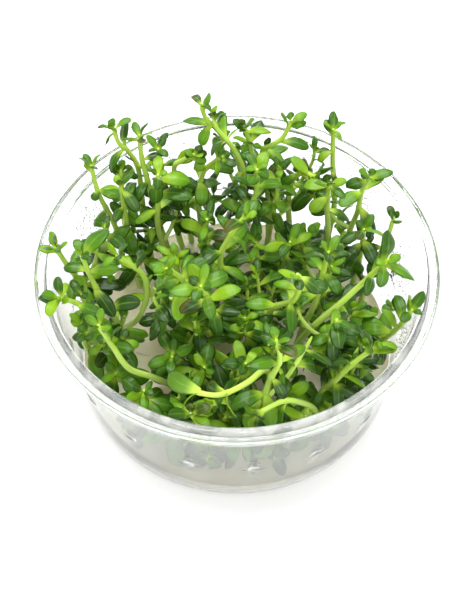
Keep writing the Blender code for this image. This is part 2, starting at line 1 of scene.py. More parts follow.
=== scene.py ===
"""A clear cup of tissue-cultured rotala, dressed: the cup and the breath on its wall, the
nutrient gel, and the young shoots with every leaf. Metres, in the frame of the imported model."""

import math
import random

import bmesh
import bpy
from mathutils import Matrix, Vector
from mathutils.bvhtree import BVHTree


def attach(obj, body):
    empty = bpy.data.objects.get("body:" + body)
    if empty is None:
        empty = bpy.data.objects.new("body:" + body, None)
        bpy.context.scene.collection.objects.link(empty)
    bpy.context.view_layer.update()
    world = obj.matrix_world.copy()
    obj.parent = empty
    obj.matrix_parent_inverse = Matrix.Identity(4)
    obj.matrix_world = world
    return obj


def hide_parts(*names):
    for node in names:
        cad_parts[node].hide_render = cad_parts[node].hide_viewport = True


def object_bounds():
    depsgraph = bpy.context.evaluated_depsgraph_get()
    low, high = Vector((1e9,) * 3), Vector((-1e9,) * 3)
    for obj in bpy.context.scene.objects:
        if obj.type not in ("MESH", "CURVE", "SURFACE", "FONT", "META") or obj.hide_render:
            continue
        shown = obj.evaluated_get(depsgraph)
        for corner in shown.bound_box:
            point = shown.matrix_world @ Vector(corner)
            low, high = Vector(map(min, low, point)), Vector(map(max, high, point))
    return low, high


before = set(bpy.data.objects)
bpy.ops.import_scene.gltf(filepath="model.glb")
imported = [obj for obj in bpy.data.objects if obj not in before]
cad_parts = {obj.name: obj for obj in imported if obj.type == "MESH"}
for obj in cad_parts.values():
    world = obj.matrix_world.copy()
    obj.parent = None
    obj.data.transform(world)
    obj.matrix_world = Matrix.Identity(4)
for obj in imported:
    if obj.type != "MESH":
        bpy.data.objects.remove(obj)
cad_low, cad_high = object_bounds()

MM = 0.001

# The cup, as in the solids
RIM_RADIUS = 50.0 * MM
CUP_HEIGHT = 46.0 * MM
BASE_RADIUS = 44.4 * MM
WALL = 0.9 * MM
FOOT_FILLET = 3.0 * MM
WALL_TOP = CUP_HEIGHT - 3.4 * MM
WALL_TOP_RADIUS = RIM_RADIUS - 3.1 * MM
LEDGE_DEPTH = 1.8 * MM
BEAD_HEIGHT = 0.4 * MM
BEAD_FROM = 2.2 * MM
BEAD_WIDTH = 1.5 * MM
LIP_EASE = 0.3 * MM
LIP_STEP = 0.5 * MM
CUP_SIDES = 360
LUG_COUNT = 18
LUG_HEIGHT = 20.0 * MM
LUG_LENGTH = 5.6 * MM
LUG_THICKNESS = 1.4 * MM
LUG_PROUD = 0.5 * MM
LUG_FIRST_ANGLE = -85.0

# The dressed cup's lugs stand out less than the solids' ones
LUG_SOFTER = 0.7

# The gel, as in the solids
GAP = 0.3 * MM
GEL_TOP = 5.6 * MM
GEL_CREEP = 0.7 * MM
GEL_CREEP_WIDTH = 1.6 * MM

# The dressed gel's surface: its slight waves, and how far it is drawn up round a stem
GEL_SIDES = 120
GEL_RINGS = 34
GEL_WAVE = 0.14  # millimetres
GEL_DRAWN_UP = 0.5 * MM
GEL_DRAWN_REACH = 1.5 * MM
GEL_STILL_EDGE = 2.5 * MM

# The shoots, as in the solids
STEM_RADIUS = 1.0 * MM
STEM_TIP_RADIUS = 0.6 * MM
TIP_TAPER = 0.7
FOOT_SWELL = 1.1
NODE_SWELL = 1.15
NODE_HALF_HEIGHT = 0.62 * MM
BEND_STEP = 12.0 * MM
TIP_BARE = 2.0 * MM
INTERNODE = 9.3 * MM
YOUNG_INTERNODE = 0.62
INTERNODE_GROWTH = 1.3
LONGEST_INTERNODE = 1.25
LEAF_LENGTH = 8.5 * MM
LEAF_WIDTH_SHARE = 0.46
LEAF_THICKNESS = 0.42 * MM
LEAF_CLEARANCE = 0.32 * MM
YOUNG_SHORTER = 0.25
YOUNG_UNTIL = 0.33
LEAF_LIFT = 18.0
YOUNG_LIFT = 14.0
LENGTH_SPREAD = (0.80, 1.12)
WIDTH_SPREAD = (0.80, 1.25)
LIFT_SPREAD = (-18, 16)
DROOP_SPREAD = (40, 115)
SWEEP_SPREAD = (-14, 14)
TRY_LIFTS = [0, 10, -14, 10, -14, 10, -14]
TRY_SWEEPS = [0, 0, 0, 9, 18, 27, 36]
TRY_SHORTER = 0.09
PLACED_DROOP = (50, 90)
PLACED_LENGTH = (4.6 * MM, 9.5 * MM)
PLACED_WIDTH_SHARE = 0.48
NARROWEST_PLACED = 2.5 * MM
PLACED_LIFT = (-45, 65)
MOUTH_MARGIN = 0.6 * MM
LEAVES_WITHIN = 42.3 * MM
OVER_RIM = CUP_HEIGHT + 1.5 * MM
LOWEST_LEAF = GEL_TOP + 1.2 * MM
OPEN_FROM = (0.0, -125.0 * MM, 211.0 * MM)
OPEN_ABOVE = 14.0 * MM
SEED = 31

# Stations along a leaf's plain shell: share of its length, and share of its full width there
LEAF_STATIONS = [(0.56, 1.0), (1.0, 0.36)]

# Each shoot: the share of its stem that is bare, and where the stem goes, root first, as
# (x, y, z) in whole millimetres
SHOOTS = {
    "shoot_back_tall": (
        0.6, [(2, 37, 6), (2, 37, 26), (0, 36, 44), (-4, 35, 53), (-8, 34, 60), (-9, 34, 65)]
    ),
    "shoot_back_twin": (
        0.6, [(-2, 34, 6), (1, 34, 24), (2, 33, 40), (-1, 32, 51), (-5, 32, 58), (-6, 33, 61)]
    ),
    "shoot_back_middle": (0.4, [(6, 38, 6), (6, 37, 30), (4, 36, 46), (2, 34, 57)]),
    "shoot_back_hook": (
        0.7, [(10, 37, 6), (9, 38, 28), (7, 37, 44), (9, 34, 50), (12, 33, 54), (14, 33, 60)]
    ),
    "shoot_back_right": (0.5, [(26, 28, 6), (28, 32, 28), (26, 33, 45), (25, 33, 57)]),
    "shoot_back_upright": (0.4, [(9, 31, 6), (10, 29, 26), (11, 27, 38), (11, 26, 50)]),
    "shoot_back_arch": (0.6, [(17, 33, 6), (15, 33, 26), (15, 31, 38), (17, 27, 47), (20, 23, 50)]),
    "shoot_back_bent": (0.4, [(-10, 35, 6), (-11, 33, 28), (-9, 31, 43), (-4, 28, 52)]),
    "shoot_back_side": (
        0.5, [(-14, 36, 6), (-15, 33, 28), (-17, 31, 44), (-14, 30, 49), (-11, 29, 52)]
    ),
    "shoot_back_left": (0.4, [(-17, 34, 6), (-20, 36, 28), (-21, 33, 50)]),
    "shoot_right_bright": (0.5, [(27, 23, 6), (26, 22, 24), (24, 20, 42), (23, 16, 55)]),
    "shoot_right_fork": (
        0.6, [(30, 24, 6), (32, 24, 26), (33, 23, 36), (33, 22, 46), (34, 20, 53)]
    ),
    "shoot_right_low": (0.3, [(33, 14, 6), (35, 18, 22), (33, 12, 42)]),
    "shoot_right_curl": (0.4, [(36, 11, 6), (38, 14, 20), (40, 14, 33), (41, 15, 43)]),
    "shoot_right_lean": (
        0.8, [
            (15, -8, 6), (16, -10, 20), (20, -12, 34), (25, -12, 43), (30, -11, 51), (34, -12, 61),
        ]
    ),
    "shoot_right_edge": (0.3, [(36, -4, 6), (38, -11, 24), (40, -16, 40), (41, -17, 48)]),
    "shoot_right_front": (0.2, [(31, -13, 6), (32, -17, 22), (31, -20, 36)]),
    "shoot_right_short": (
        0.5, [(22, -20, 6), (22, -24, 20), (24, -27, 32), (28, -26, 39), (32, -25, 44)]
    ),
    "shoot_left_tall": (0.5, [(-33, 20, 6), (-34, 24, 26), (-37, 24, 42), (-38, 26, 51)]),
    "shoot_left_top": (
        0.5, [
            (-26, 28, 6), (-27, 32, 26), (-27, 33, 42), (-29, 33, 49), (-31, 32, 53), (-32, 33, 58),
        ]
    ),
    "shoot_left_upright": (
        0.4, [(-20, 29, 6), (-23, 30, 26), (-24, 28, 42), (-25, 29, 50), (-25, 30, 58)]
    ),
    "shoot_left_dark": (0.3, [(-30, 24, 6), (-32, 27, 26), (-31, 29, 46)]),
    "shoot_left_brown": (0.5, [(-20, 24, 6), (-22, 23, 28), (-21, 21, 42), (-20, 20, 54)]),
    "shoot_left_inner": (0.4, [(-29, 19, 6), (-31, 23, 22), (-30, 20, 40), (-30, 20, 50)]),
    "shoot_left_edge": (0.3, [(-37, 10, 6), (-41, 6, 24), (-42, 0, 40), (-44, -1, 51)]),
    "shoot_left_pale": (
        0.4, [(-30, -3, 6), (-31, -5, 18), (-32, -7, 30), (-35, -7, 44), (-36, -8, 58)]
    ),
    "shoot_left_reach": (
        0.4, [(-36, -1, 6), (-35, -4, 20), (-36, -9, 34), (-38, -14, 46), (-41, -17, 53)]
    ),
    "shoot_left_hang": (0.3, [(-35, -10, 6), (-38, -14, 22), (-38, -17, 34), (-38, -16, 40)]),
    "shoot_left_bow": (
        0.8, [(-33, 4, 6), (-30, 0, 14), (-26, -4, 25), (-23, -5, 36), (-23, -6, 47), (-28, -8, 57)]
    ),
    "shoot_front_left": (
        0.8, [
            (-14, -17, 6), (-17, -20, 16), (-21, -24, 28),
            (-26, -26, 36), (-29, -25, 45), (-31, -25, 54),
        ]
    ),
    "shoot_front_left_low": (0.2, [(-25, -25, 6), (-24, -28, 20), (-22, -32, 36)]),
    "shoot_front_sweep": (
        0.8, [(8, -22, 6), (8, -25, 30), (6, -30, 42), (2, -36, 47), (-4, -40, 49), (-10, -39, 49)]
    ),
    "shoot_front_tall": (
        0.4, [(5, -31, 6), (6, -33, 28), (7, -35, 45), (9, -36, 57), (8, -35, 64)]
    ),
    "shoot_front_arch": (
        0.7, [(22, -27, 6), (19, -32, 26), (14, -36, 38), (10, -38, 42), (4, -41, 41)]
    ),
    "shoot_front_middle": (0.2, [(0, -17, 6), (1, -24, 26), (2, -28, 42)]),
    "shoot_front_right": (0.4, [(23, -5, 6), (23, -16, 34), (22, -25, 56)]),
    "shoot_front_low": (0.2, [(13, -20, 6), (13, -26, 20), (12, -31, 30)]),
    "shoot_front_edge": (0.2, [(-8, -31, 6), (-9, -34, 20), (-11, -36, 32)]),
    "shoot_near_left": (
        0.5, [(-10, 3, 6), (-11, -2, 26), (-13, -6, 36), (-13, -10, 50), (-16, -13, 59)]
    ),
    "shoot_near_middle": (0.4, [(-6, 5, 6), (-6, -8, 34), (-7, -16, 52), (-8, -20, 62)]),
    "shoot_near_right": (
        0.6, [(7, 5, 6), (9, -10, 38), (13, -17, 52), (14, -18, 60), (13, -19, 65)]
    ),
    "shoot_middle_tall": (0.4, [(3, 30, 6), (3, 25, 30), (5, 21, 46), (5, 19, 57)]),
    "shoot_middle_kinked": (0.4, [(-3, 13, 6), (-4, 8, 26), (-4, 4, 42), (-1, 3, 52), (2, 3, 58)]),
    "shoot_inner_back": (0.2, [(-8, 22, 6), (-9, 19, 24), (-8, 17, 40)]),
    "shoot_inner_right": (0.2, [(13, 16, 6), (13, 14, 22), (14, 11, 38)]),
    "shoot_inner_front": (0.2, [(9, -10, 6), (9, -14, 20), (8, -17, 32)]),
    "shoot_inner_left": (0.2, [(-17, -8, 6), (-17, -13, 20), (-16, -21, 33)]),
    "shoot_inner_middle": (0.2, [(-15, 12, 6), (-16, 9, 22), (-16, 6, 38)]),
    "shoot_inner_centre": (0.2, [(3, -2, 6), (3, -6, 20), (2, -9, 32)]),
    "shoot_inner_far_right": (0.2, [(18, 22, 6), (18, 19, 22), (19, 15, 36)]),
    "shoot_inner_near": (0.2, [(-9, -16, 6), (-9, -20, 20), (-8, -24, 33)]),
    "shoot_inner_far_side": (0.2, [(23, 2, 6), (23, 1, 20), (23, 0, 32)]),
    "shoot_inner_heart": (0.2, [(5, 13, 6), (6, 14, 20), (5, 13, 35)]),
    "shoot_inner_low_left": (0.2, [(-21, 2, 6), (-20, -1, 20), (-18, -4, 34)]),
    "shoot_right_straight": (
        0.6, [(17, -2, 6), (18, -4, 20), (20, -5, 32), (21, -4, 42), (22, -3, 52)]
    ),
    "shoot_side_right": (0.2, [(24, 10, 6), (24, 9, 20), (25, 6, 34)]),
}

# Leaves at the edge of the thicket: the node each one springs from, counted from the tip of the
# stem, and where it ends, as (x, y, z) in whole millimetres
PLACED_LEAVES = {
    "shoot_back_tall": [(0, (-7, 36, 66)), (1, (-14, 36, 57)), (1, (-9, 30, 54))],
    "shoot_back_twin": [(0, (-3, 33, 62)), (0, (-1, 32, 59))],
    "shoot_left_top": [(0, (-32, 33, 60)), (0, (-34, 32, 53)), (0, (-29, 32, 57))],
    "shoot_left_upright": [(0, (-22, 29, 60)), (0, (-27, 30, 56)), (1, (-20, 30, 50))],
    "shoot_left_tall": [
        (0, (-43, 29, 51)), (0, (-36, 29, 52)), (1, (-41, 20, 41)), (1, (-31, 21, 44)),
    ],
    "shoot_left_dark": [(0, (-37, 30, 45)), (0, (-33, 32, 48)), (0, (-27, 30, 42))],
    "shoot_left_inner": [(0, (-26, 16, 44)), (2, (-34, 22, 41))],
    "shoot_left_brown": [(0, (-21, 18, 46)), (0, (-12, 21, 50)), (1, (-11, 18, 47))],
    "shoot_back_side": [(0, (-9, 29, 49)), (1, (-11, 32, 50))],
    "shoot_back_hook": [(0, (13, 33, 63)), (0, (17, 34, 58)), (1, (19, 32, 51))],
    "shoot_back_middle": [(0, (0, 35, 58)), (0, (9, 35, 54)), (2, (9, 35, 43))],
    "shoot_back_right": [
        (0, (24, 34, 58)), (0, (27, 33, 53)), (1, (22, 31, 47)), (2, (27, 32, 37)),
    ],
    "shoot_back_upright": [(0, (13, 27, 53))],
    "shoot_back_arch": [(0, (14, 27, 53)), (1, (12, 27, 42))],
    "shoot_right_bright": [
        (0, (17, 18, 52)), (0, (30, 19, 54)), (0, (27, 13, 53)),
        (1, (19, 15, 45)), (2, (32, 18, 38)),
    ],
    "shoot_right_fork": [
        (0, (28, 19, 50)), (0, (37, 21, 52)), (0, (37, 18, 45)), (2, (37, 17, 31)),
    ],
    "shoot_right_low": [(0, (27, 10, 39))],
    "shoot_right_curl": [(0, (42, 16, 46)), (0, (43, 12, 43))],
    "shoot_right_lean": [(0, (34, -8, 66)), (0, (40, -15, 57)), (0, (32, -17, 57))],
    "shoot_right_short": [(0, (38, -24, 46)), (0, (30, -29, 48))],
    "shoot_right_edge": [(0, (41, -16, 50))],
    "shoot_left_edge": [(0, (-47, -1, 50)), (0, (-41, -1, 53))],
    "shoot_left_pale": [(0, (-30, -2, 59)), (0, (-38, -5, 58)), (2, (-30, -14, 40))],
    "shoot_left_reach": [(0, (-46, -16, 51)), (0, (-40, -12, 51)), (1, (-32, -17, 46))],
    "shoot_left_hang": [(0, (-38, -19, 31))],
    "shoot_left_bow": [(1, (-21, -8, 58)), (1, (-28, -3, 50))],
    "shoot_front_left": [(0, (-34, -22, 52)), (0, (-36, -19, 55)), (1, (-26, -24, 52))],
    "shoot_front_sweep": [(0, (-17, -37, 51)), (0, (-13, -34, 53)), (0, (-15, -42, 48))],
    "shoot_near_left": [
        (0, (-20, -11, 58)), (0, (-14, -9, 58)), (1, (-7, -8, 55)), (1, (-17, -13, 50)),
    ],
    "shoot_near_right": [(0, (10, -18, 64)), (0, (18, -20, 60)), (3, (2, -12, 43))],
}

# Shoots whose stems lie open to the front, and how many millimetres of air before them no other
# shoot's leaf grows in
OPEN_STEMS = {
    "shoot_left_bow": 24, "shoot_left_pale": 12, "shoot_left_reach": 8, "shoot_left_tall": 8,
    "shoot_left_brown": 12, "shoot_left_top": 8, "shoot_back_tall": 8, "shoot_back_twin": 8,
    "shoot_back_hook": 8, "shoot_back_right": 8, "shoot_back_arch": 8, "shoot_middle_kinked": 8,
    "shoot_near_right": 8, "shoot_right_lean": 24, "shoot_right_fork": 8, "shoot_right_bright": 8,
    "shoot_right_straight": 16, "shoot_right_short": 10, "shoot_front_sweep": 20,
    "shoot_front_arch": 20, "shoot_front_left": 24,
}

# The shoot whose top is cut off: it has no leaves but its placed ones
CUT_SHOOT = "shoot_left_bow"

# What only the dressed shoots have
FINE_CLEARANCE = 0.10 * MM
TOP_MARGIN = 0.4 * MM
FINE_LEAF_START = 0.4  # millimetres
FINE_TRIES = 4
FINE_TURN = (-14, 14)
FINE_SHORTER = 0.12
FINE_LENGTH_SPREAD = (0.85, 1.15)
FINE_WIDTH_SHARE = (0.40, 0.54)
FINE_LIFT_SPREAD = (-18, 18)
FINE_TRY_LIFTS = (0, 12, -12, 20)
FINE_DROOP = (30, 115)
FINE_STEM_STEP = 1.0 * MM
FINE_STEM_SHARE = 0.92
NODE_BULGE = 0.20
NODE_BULGE_REACH = 0.8 * MM
STEM_SUNK = 1.6 * MM
FINE_LEAF_BREADTH = 1.04
SMALLEST_GAP_BETWEEN_PAIRS = 6.0 * MM
HIGHEST_PAIR_BETWEEN_NODES = 38.0 * MM
NARROWEST_LEAF = 2.2 * MM
TIP_PAIRS = [(0.9 * MM, 4.2 * MM, 46), (0.2 * MM, 3.0 * MM, 66)]
BRANCHES_PER_SHOOT = (1, 2)
LOW_PAIR_SHARE = (0.22, 0.60)
SHORTEST_BRANCH_LEAF = (5.4 * MM, 6.4 * MM)
LONGEST_BRANCH_LEAF = 9.2 * MM
CROWDED_BEFORE = 6.0 * MM
BARE_FROM = 16
LONGER_AIR = 2.5
AIR_ASIDE = 1.6 * MM
BRANCH_LENGTH = (9.0 * MM, 20.0 * MM)
BRANCH_STOUTNESS = 0.66
BRANCH_BARE = 0.15
BRANCH_SAMPLES = 16
BRANCH_TRIES = 6
BRANCH_OFF_WALL = 3 * MM
BRANCH_HIGHEST = CUP_HEIGHT + 4 * MM
LOW_PAIR_MARGIN = 6.0 * MM
LOW_PAIR_LENGTH = (5.5, 8.5)  # millimetres
LOW_PAIR_STEP = (5.0, 8.0)  # millimetres
FRONT_LEAF_LENGTH = 8.6 * MM
AXIL_SHARE = 0.07
FRONT_SHOOTS = [
    "shoot_front_left_low", "shoot_front_edge", "shoot_front_tall", "shoot_front_low",
    "shoot_front_arch", "shoot_inner_near", "shoot_right_short",
]
FRONT_LEAF_SHARES = [0.06, 0.12, 0.18, 0.26, 0.34, 0.42, 0.50, 0.58]
FRONT_BRANCH_SHARES = [0.05, 0.12, 0.24]
EXTRA_SEED = 8
ROOT_AGE = 2.0
STEM_SIDES = 8
LEAF_AROUND = 8
LEAF_STATION_COUNT = 8

# The photograph's view of the cup
CAMERA_PLACE = (-0.5 * MM, -124.8 * MM, 211.4 * MM)
CAMERA_DOWN = 55.8
CAMERA_LENS = 50.44
CAMERA_SENSOR = 36.0


class Socket:
    """A socket of a node tree; arithmetic on it adds Math nodes."""

    def __init__(self, tree, socket):
        self.tree = tree
        self.socket = socket

    def __add__(self, other):
        return self.tree.math("ADD", self, other)

    def __sub__(self, other):
        return self.tree.math("SUBTRACT", self, other)

    def __rsub__(self, other):
        return self.tree.math("SUBTRACT", other, self)

    def __mul__(self, other):
        return self.tree.math("MULTIPLY", self, other)

    def __truediv__(self, other):
        return self.tree.math("DIVIDE", self, other)

    def __pow__(self, other):
        return self.tree.math("POWER", self, other)

    __radd__ = __add__
    __rmul__ = __mul__


class Tree:
    """A node tree written as Python."""

    def __init__(self, inside):
        self.inside = inside
        inside.nodes.clear()

    def node(self, kind, settings=None, sockets=None, out=0):
        """Any node: its settings first, then a value, a link or a list of links for each socket."""
        made = self.inside.nodes.new(kind)
        for name, value in (settings or {}).items():
            if name == "stops":
                ramp = made.color_ramp
                while len(ramp.elements) < len(value):
                    ramp.elements.new(1.0)
                for element, (place, colour) in zip(ramp.elements, value):
                    element.position = place
                    element.color = (*colour, 1.0)
            else:
                setattr(made, name, value)
        for name, value in (sockets or {}).items():
            for one in value if isinstance(value, list) else [value]:
                if isinstance(one, Socket):
                    self.inside.links.new(one.socket, made.inputs[name])
                else:
                    made.inputs[name].default_value = one
        return Socket(self, made.outputs[out]) if made.outputs else None

    def math(self, operation, *values):
        return self.node("ShaderNodeMath", {"operation": operation}, dict(enumerate(values)))

    def clamped(self, value):
        return self.node("ShaderNodeClamp", {}, {0: value})

    def ramp_up(self, value, low, high):
        """0 below low, 1 above high, smooth between."""
        return self.node(
            "ShaderNodeMapRange", {"interpolation_type": "SMOOTHSTEP"}, {0: value, 1: low, 2: high}
        )

    def mixed(self, first, second, share):
        """One colour mixed into another."""
        sockets = {
            "Factor": share,
            6: first if isinstance(first, Socket) else (*first, 1.0),
            7: second if isinstance(second, Socket) else (*second, 1.0),
        }
        return self.node("ShaderNodeMix", {"data_type": "RGBA"}, sockets, out=2)

    def bump(self, strength, distance, height):
        sockets = {"Strength": strength, "Distance": distance, "Height": height}
        return self.node("ShaderNodeBump", {}, sockets)

    def noise(self, scale, detail=2.0, roughness=0.5):
        place = self.node("ShaderNodeTexCoord", out="Object")
        sockets = {"Vector": place, "Scale": scale, "Detail": detail, "Roughness": roughness}
        return self.node("ShaderNodeTexNoise", {}, sockets)


def material_tree(name):
    material = bpy.data.materials.new(name)
    material.use_nodes = True
    return material, Tree(material.node_tree)


def finish_surface(tree, shader):
    tree.node("ShaderNodeOutputMaterial", {}, {"Surface": shader})


def clear_plastic():
    """Thin clear plastic with a grey-teal edge, breathed on from inside low on the wall. Whitish
    frosting on the rim's near side and on the lugs is painted highlight.
    """
    material, tree = material_tree("clear_plastic")
    place = tree.node("ShaderNodeTexCoord", out="Object")
    x, y, z = [tree.node("ShaderNodeSeparateXYZ", {}, {0: place}, out=i) for i in range(3)]
    radius = tree.math("SQRT", x * x + y * y)
    slope = (WALL_TOP_RADIUS - BASE_RADIUS) / (WALL_TOP - FOOT_FILLET)
    middle = (z - FOOT_FILLET) * slope + (BASE_RADIUS - WALL / 2)
    inner = tree.math("LESS_THAN", radius, middle)
    low = 1.0 - tree.ramp_up(z, 38.0 * MM, WALL_TOP)
    above_gel = tree.ramp_up(z, WALL, 2 * WALL)
    front = tree.ramp_up(0.0 - y, 2.0 * MM, 36.0 * MM)
    cloud = tree.noise(60.0, 2.0)
    breath = inner * above_gel * low * (0.06 + 0.10 * front) * (0.85 + 0.3 * cloud)
    bump = tree.bump(0.04, 0.2 * MM, tree.noise(160.0, 1.0))
    glass = tree.node(
        "ShaderNodeBsdfPrincipled",
        {},
        {
            "Base Color": (0.985, 0.99, 0.99, 1.0),
            "Roughness": 0.02 + 0.03 * tree.ramp_up(cloud, 0.4, 0.8),
            "IOR": 1.49,
            "Transmission Weight": 1.0,
            "Normal": bump,
        },
    )
    mist = tree.node(
        "ShaderNodeBsdfPrincipled",
        {},
        {"Base Color": (0.95, 0.945, 0.915, 1.0), "Roughness": 0.5, "Normal": bump},
    )
    glow = tree.node("ShaderNodeBsdfTranslucent", {}, {"Color": (0.95, 0.945, 0.915, 1.0)})
    mist = tree.node("ShaderNodeMixShader", {}, {0: 0.4, 1: mist, 2: glow})
    bead = tree.math("LESS_THAN", radius, RIM_RADIUS - BEAD_FROM)
    on_rim = tree.ramp_up(z, WALL_TOP - 1.5 * MM, WALL_TOP + 0.5 * MM)
    mottle = tree.ramp_up(tree.noise(190.0, 2.0), 0.35, 0.65)
    # Painted highlight: whitish frosting on the rim, mostly on its near side and over the bead,
    # stands in for the pale band the rim shows there
    rim = on_rim * (0.03 + front * (0.08 * mottle + 0.28 * bead * (0.4 + mottle)))
    # Painted highlight: whitish frosting on the lugs' proud faces stands in for their bright
    # lens-shaped glints
    proud = tree.math("GREATER_THAN", radius, middle + (WALL / 2 + 0.06 * MM))
    lug_highlight = proud * tree.ramp_up(z, 17 * MM, 18 * MM) * (1.0 - tree.ramp_up(z, 22 * MM, 23 * MM))
    share = breath + rim + 0.18 * lug_highlight
    surface = tree.node("ShaderNodeMixShader", {}, {0: share, 1: glass, 2: mist})
    depth = tree.node(
        "ShaderNodeVolumeAbsorption", {}, {"Color": (0.72, 0.83, 0.86, 1.0), "Density": 60.0}
    )
    tree.node("ShaderNodeOutputMaterial", {}, {"Surface": surface, "Volume": depth})
    return material


def water_finish():
    material, tree = material_tree("clear_water")
    # The grey base colour dims the clear drops: painted shade standing in for the dark specks their
    # refraction shows
    glass = tree.node(
        "ShaderNodeBsdfPrincipled",
        {},
        {
            "Base Color": (0.42, 0.45, 0.45, 1.0),
            "Roughness": 0.02 + 0.03 * tree.noise(900.0),
            "IOR": 1.33,
            "Transmission Weight": 1.0,
        },
    )
    finish_surface(tree, glass)
    return material


def gel_finish():
    """Cream nutrient gel, wet, a little cloudy, with a few yellower stains."""
    material, tree = material_tree("nutrient_gel")
    cloud = tree.noise(70.0, 4.0, 0.6)
    stain = tree.ramp_up(tree.noise(160.0, 3.0), 0.55, 0.75)
    colour = tree.mixed((0.95, 0.82, 0.52), (0.99, 0.91, 0.68), tree.ramp_up(cloud, 0.3, 0.7))
    colour = tree.mixed(colour, (0.60, 0.52, 0.28), 0.35 * stain)
    bump = tree.bump(0.35, 0.4 * MM, tree.noise(420.0, 3.0))
    shader = tree.node(
        "ShaderNodeBsdfPrincipled",
        {},
        {
            "Base Color": colour,
            "Roughness": 0.16 + 0.18 * cloud,
            "Coat Weight": 0.15,
            "Coat Roughness": 0.08,
            "Subsurface Weight": 0.15,
            "Subsurface Scale": 1.5 * MM,
            "Normal": bump,
        },
    )
    finish_surface(tree, shader)
    return material


def plant_finish():
    """Leaves from yellow-green young ones to dark old ones, paler below and along the midrib;
    yellow-green stems; pale roots."""
    material, tree = material_tree("rotala_green")

    def read(name):
        return tree.node("ShaderNodeAttribute", {"attribute_name": name}, out="Fac")

    age, tone, along, side, upper, leafy = [
        read(name) for name in ("age", "tone", "along", "side", "upper", "leafy")
    ]
    across = tree.math("ABSOLUTE", side)
    cloud = tree.noise(240.0, 3.0)
    fine = tree.noise(1500.0, 2.0)
    shade = 0.20 + age * 0.45 + (tone - 0.5) * 0.95 + along * 0.36 + (cloud - 0.5) * 0.35
    shade = tree.clamped(shade)
    stops = [
        (0.0, (0.270, 0.470, 0.013)),
        (0.25, (0.130, 0.310, 0.010)),
        (0.52, (0.050, 0.155, 0.006)),
        (1.0, (0.014, 0.050, 0.004)),
    ]
    leaf = tree.node("ShaderNodeValToRGB", {"stops": stops}, {0: shade})
    veins = tree.math("SINE", (along * 1.6 - across * 0.55) * 44.0)
    vein = tree.ramp_up(veins, 0.72, 1.0) * tree.ramp_up(across, 0.05, 0.2)
    leaf = tree.mixed(leaf, (0.18, 0.38, 0.05), 0.18 * vein)
    rib = (1.0 - tree.ramp_up(across, 0.02, 0.12)) * (1.0 - 0.7 * along)
    leaf = tree.mixed(leaf, (0.36, 0.58, 0.10), 0.50 * rib)
    below = 1.0 - tree.ramp_up(upper, -0.25, 0.05)
    leaf = tree.mixed(leaf, (0.20, 0.36, 0.045), 0.40 * below)
    petiole = 1.0 - tree.ramp_up(along, 0.05, 0.40)
    leaf = tree.mixed(leaf, (0.58, 0.80, 0.080), 0.8 * petiole)
    edge = across * 0.5 + along * 0.6 + cloud * 0.5
    burnt = tree.ramp_up(tone, 0.95, 0.99) * tree.ramp_up(edge, 0.75, 1.05)
    leaf = tree.mixed(leaf, (0.150, 0.110, 0.020), 0.7 * burnt)
    ripe = tree.clamped(age * 1.4 + (cloud - 0.5))
    stem = tree.mixed((0.50, 0.74, 0.090), (0.58, 0.78, 0.170), ripe)
    stem = tree.mixed(stem, (0.80, 0.74, 0.54), tree.ramp_up(age, 1.2, 1.8))
    colour = tree.mixed(stem, leaf, leafy)
    height = 0.5 * fine - 0.6 * vein - 1.2 * rib * leafy
    bump = tree.bump(0.35, 0.12 * MM, height)
    skin = tree.node(
        "ShaderNodeBsdfPrincipled",
        {},
        {
            "Base Color": colour,
            "Roughness": 0.11 + 0.14 * cloud + 0.20 * below,
            "Specular IOR Level": 0.32,
            "Normal": bump,
        },
    )
    through = tree.node("ShaderNodeBsdfTranslucent", {}, {"Color": (0.34, 0.60, 0.045, 1.0)})
    share = 0.12 + 0.18 * (1.0 - shade) * leafy
    finish_surface(tree, tree.node("ShaderNodeMixShader", {}, {0: share, 1: skin, 2: through}))
    return material


def floor_finish():
    material, tree = material_tree("pale_floor")
    cloud = tree.noise(6.0)
    colour = tree.mixed((0.91, 0.91, 0.91), (0.94, 0.94, 0.94), cloud)
    shader = tree.node("ShaderNodeBsdfPrincipled", {}, {"Base Color": colour, "Roughness": 0.7})
    finish_surface(tree, shader)
    return material


def geometry_tree(name, inputs):
    """An empty Geometry Nodes tree, and the sockets of its named inputs."""
    group = bpy.data.node_groups.new(name, "GeometryNodeTree")
    tree = Tree(group)
    group.interface.new_socket("Geometry", in_out="OUTPUT", socket_type="NodeSocketGeometry")
    group.interface.new_socket("Geometry", in_out="INPUT", socket_type="NodeSocketGeometry")
    for label, (kind, value) in inputs.items():
        socket = group.interface.new_socket(label, in_out="INPUT", socket_type="NodeSocket" + kind)
        if value is not None:
            socket.default_value = value
    entry = group.nodes.new("NodeGroupInput")
    sockets = {socket.name: Socket(tree, socket) for socket in entry.outputs if socket.name}
    return tree, sockets


def finish_tree(tree, result, material):
    """Ends a tree: instances realized, smooth, and the material set."""
    result = tree.node("GeometryNodeRealizeInstances", {}, {0: result})
    result = tree.node("GeometryNodeSetShadeSmooth", {}, {"Geometry": result})
    result = tree.node("GeometryNodeSetMaterial", {}, {"Geometry": result, "Material": material})
    tree.node("NodeGroupOutput", {}, {0: result})


def run_tree(name, guide, group, values):
    """The plain mesh that a tree makes of a guide mesh."""
    holder = bpy.data.objects.new(name + "_guide", guide)
    bpy.context.scene.collection.objects.link(holder)
    modifier = holder.modifiers.new("make", "NODES")
    modifier.node_group = group
    for item in group.interface.items_tree:
        if item.in_out == "INPUT" and item.name in values:
            modifier[item.identifier] = values[item.name]
    depsgraph = bpy.context.evaluated_depsgraph_get()
    mesh = bpy.data.meshes.new_from_object(
        holder.evaluated_get(depsgraph), preserve_all_data_layers=True, depsgraph=depsgraph
    )
    mesh.name = name
    bpy.data.objects.remove(holder)
    return mesh


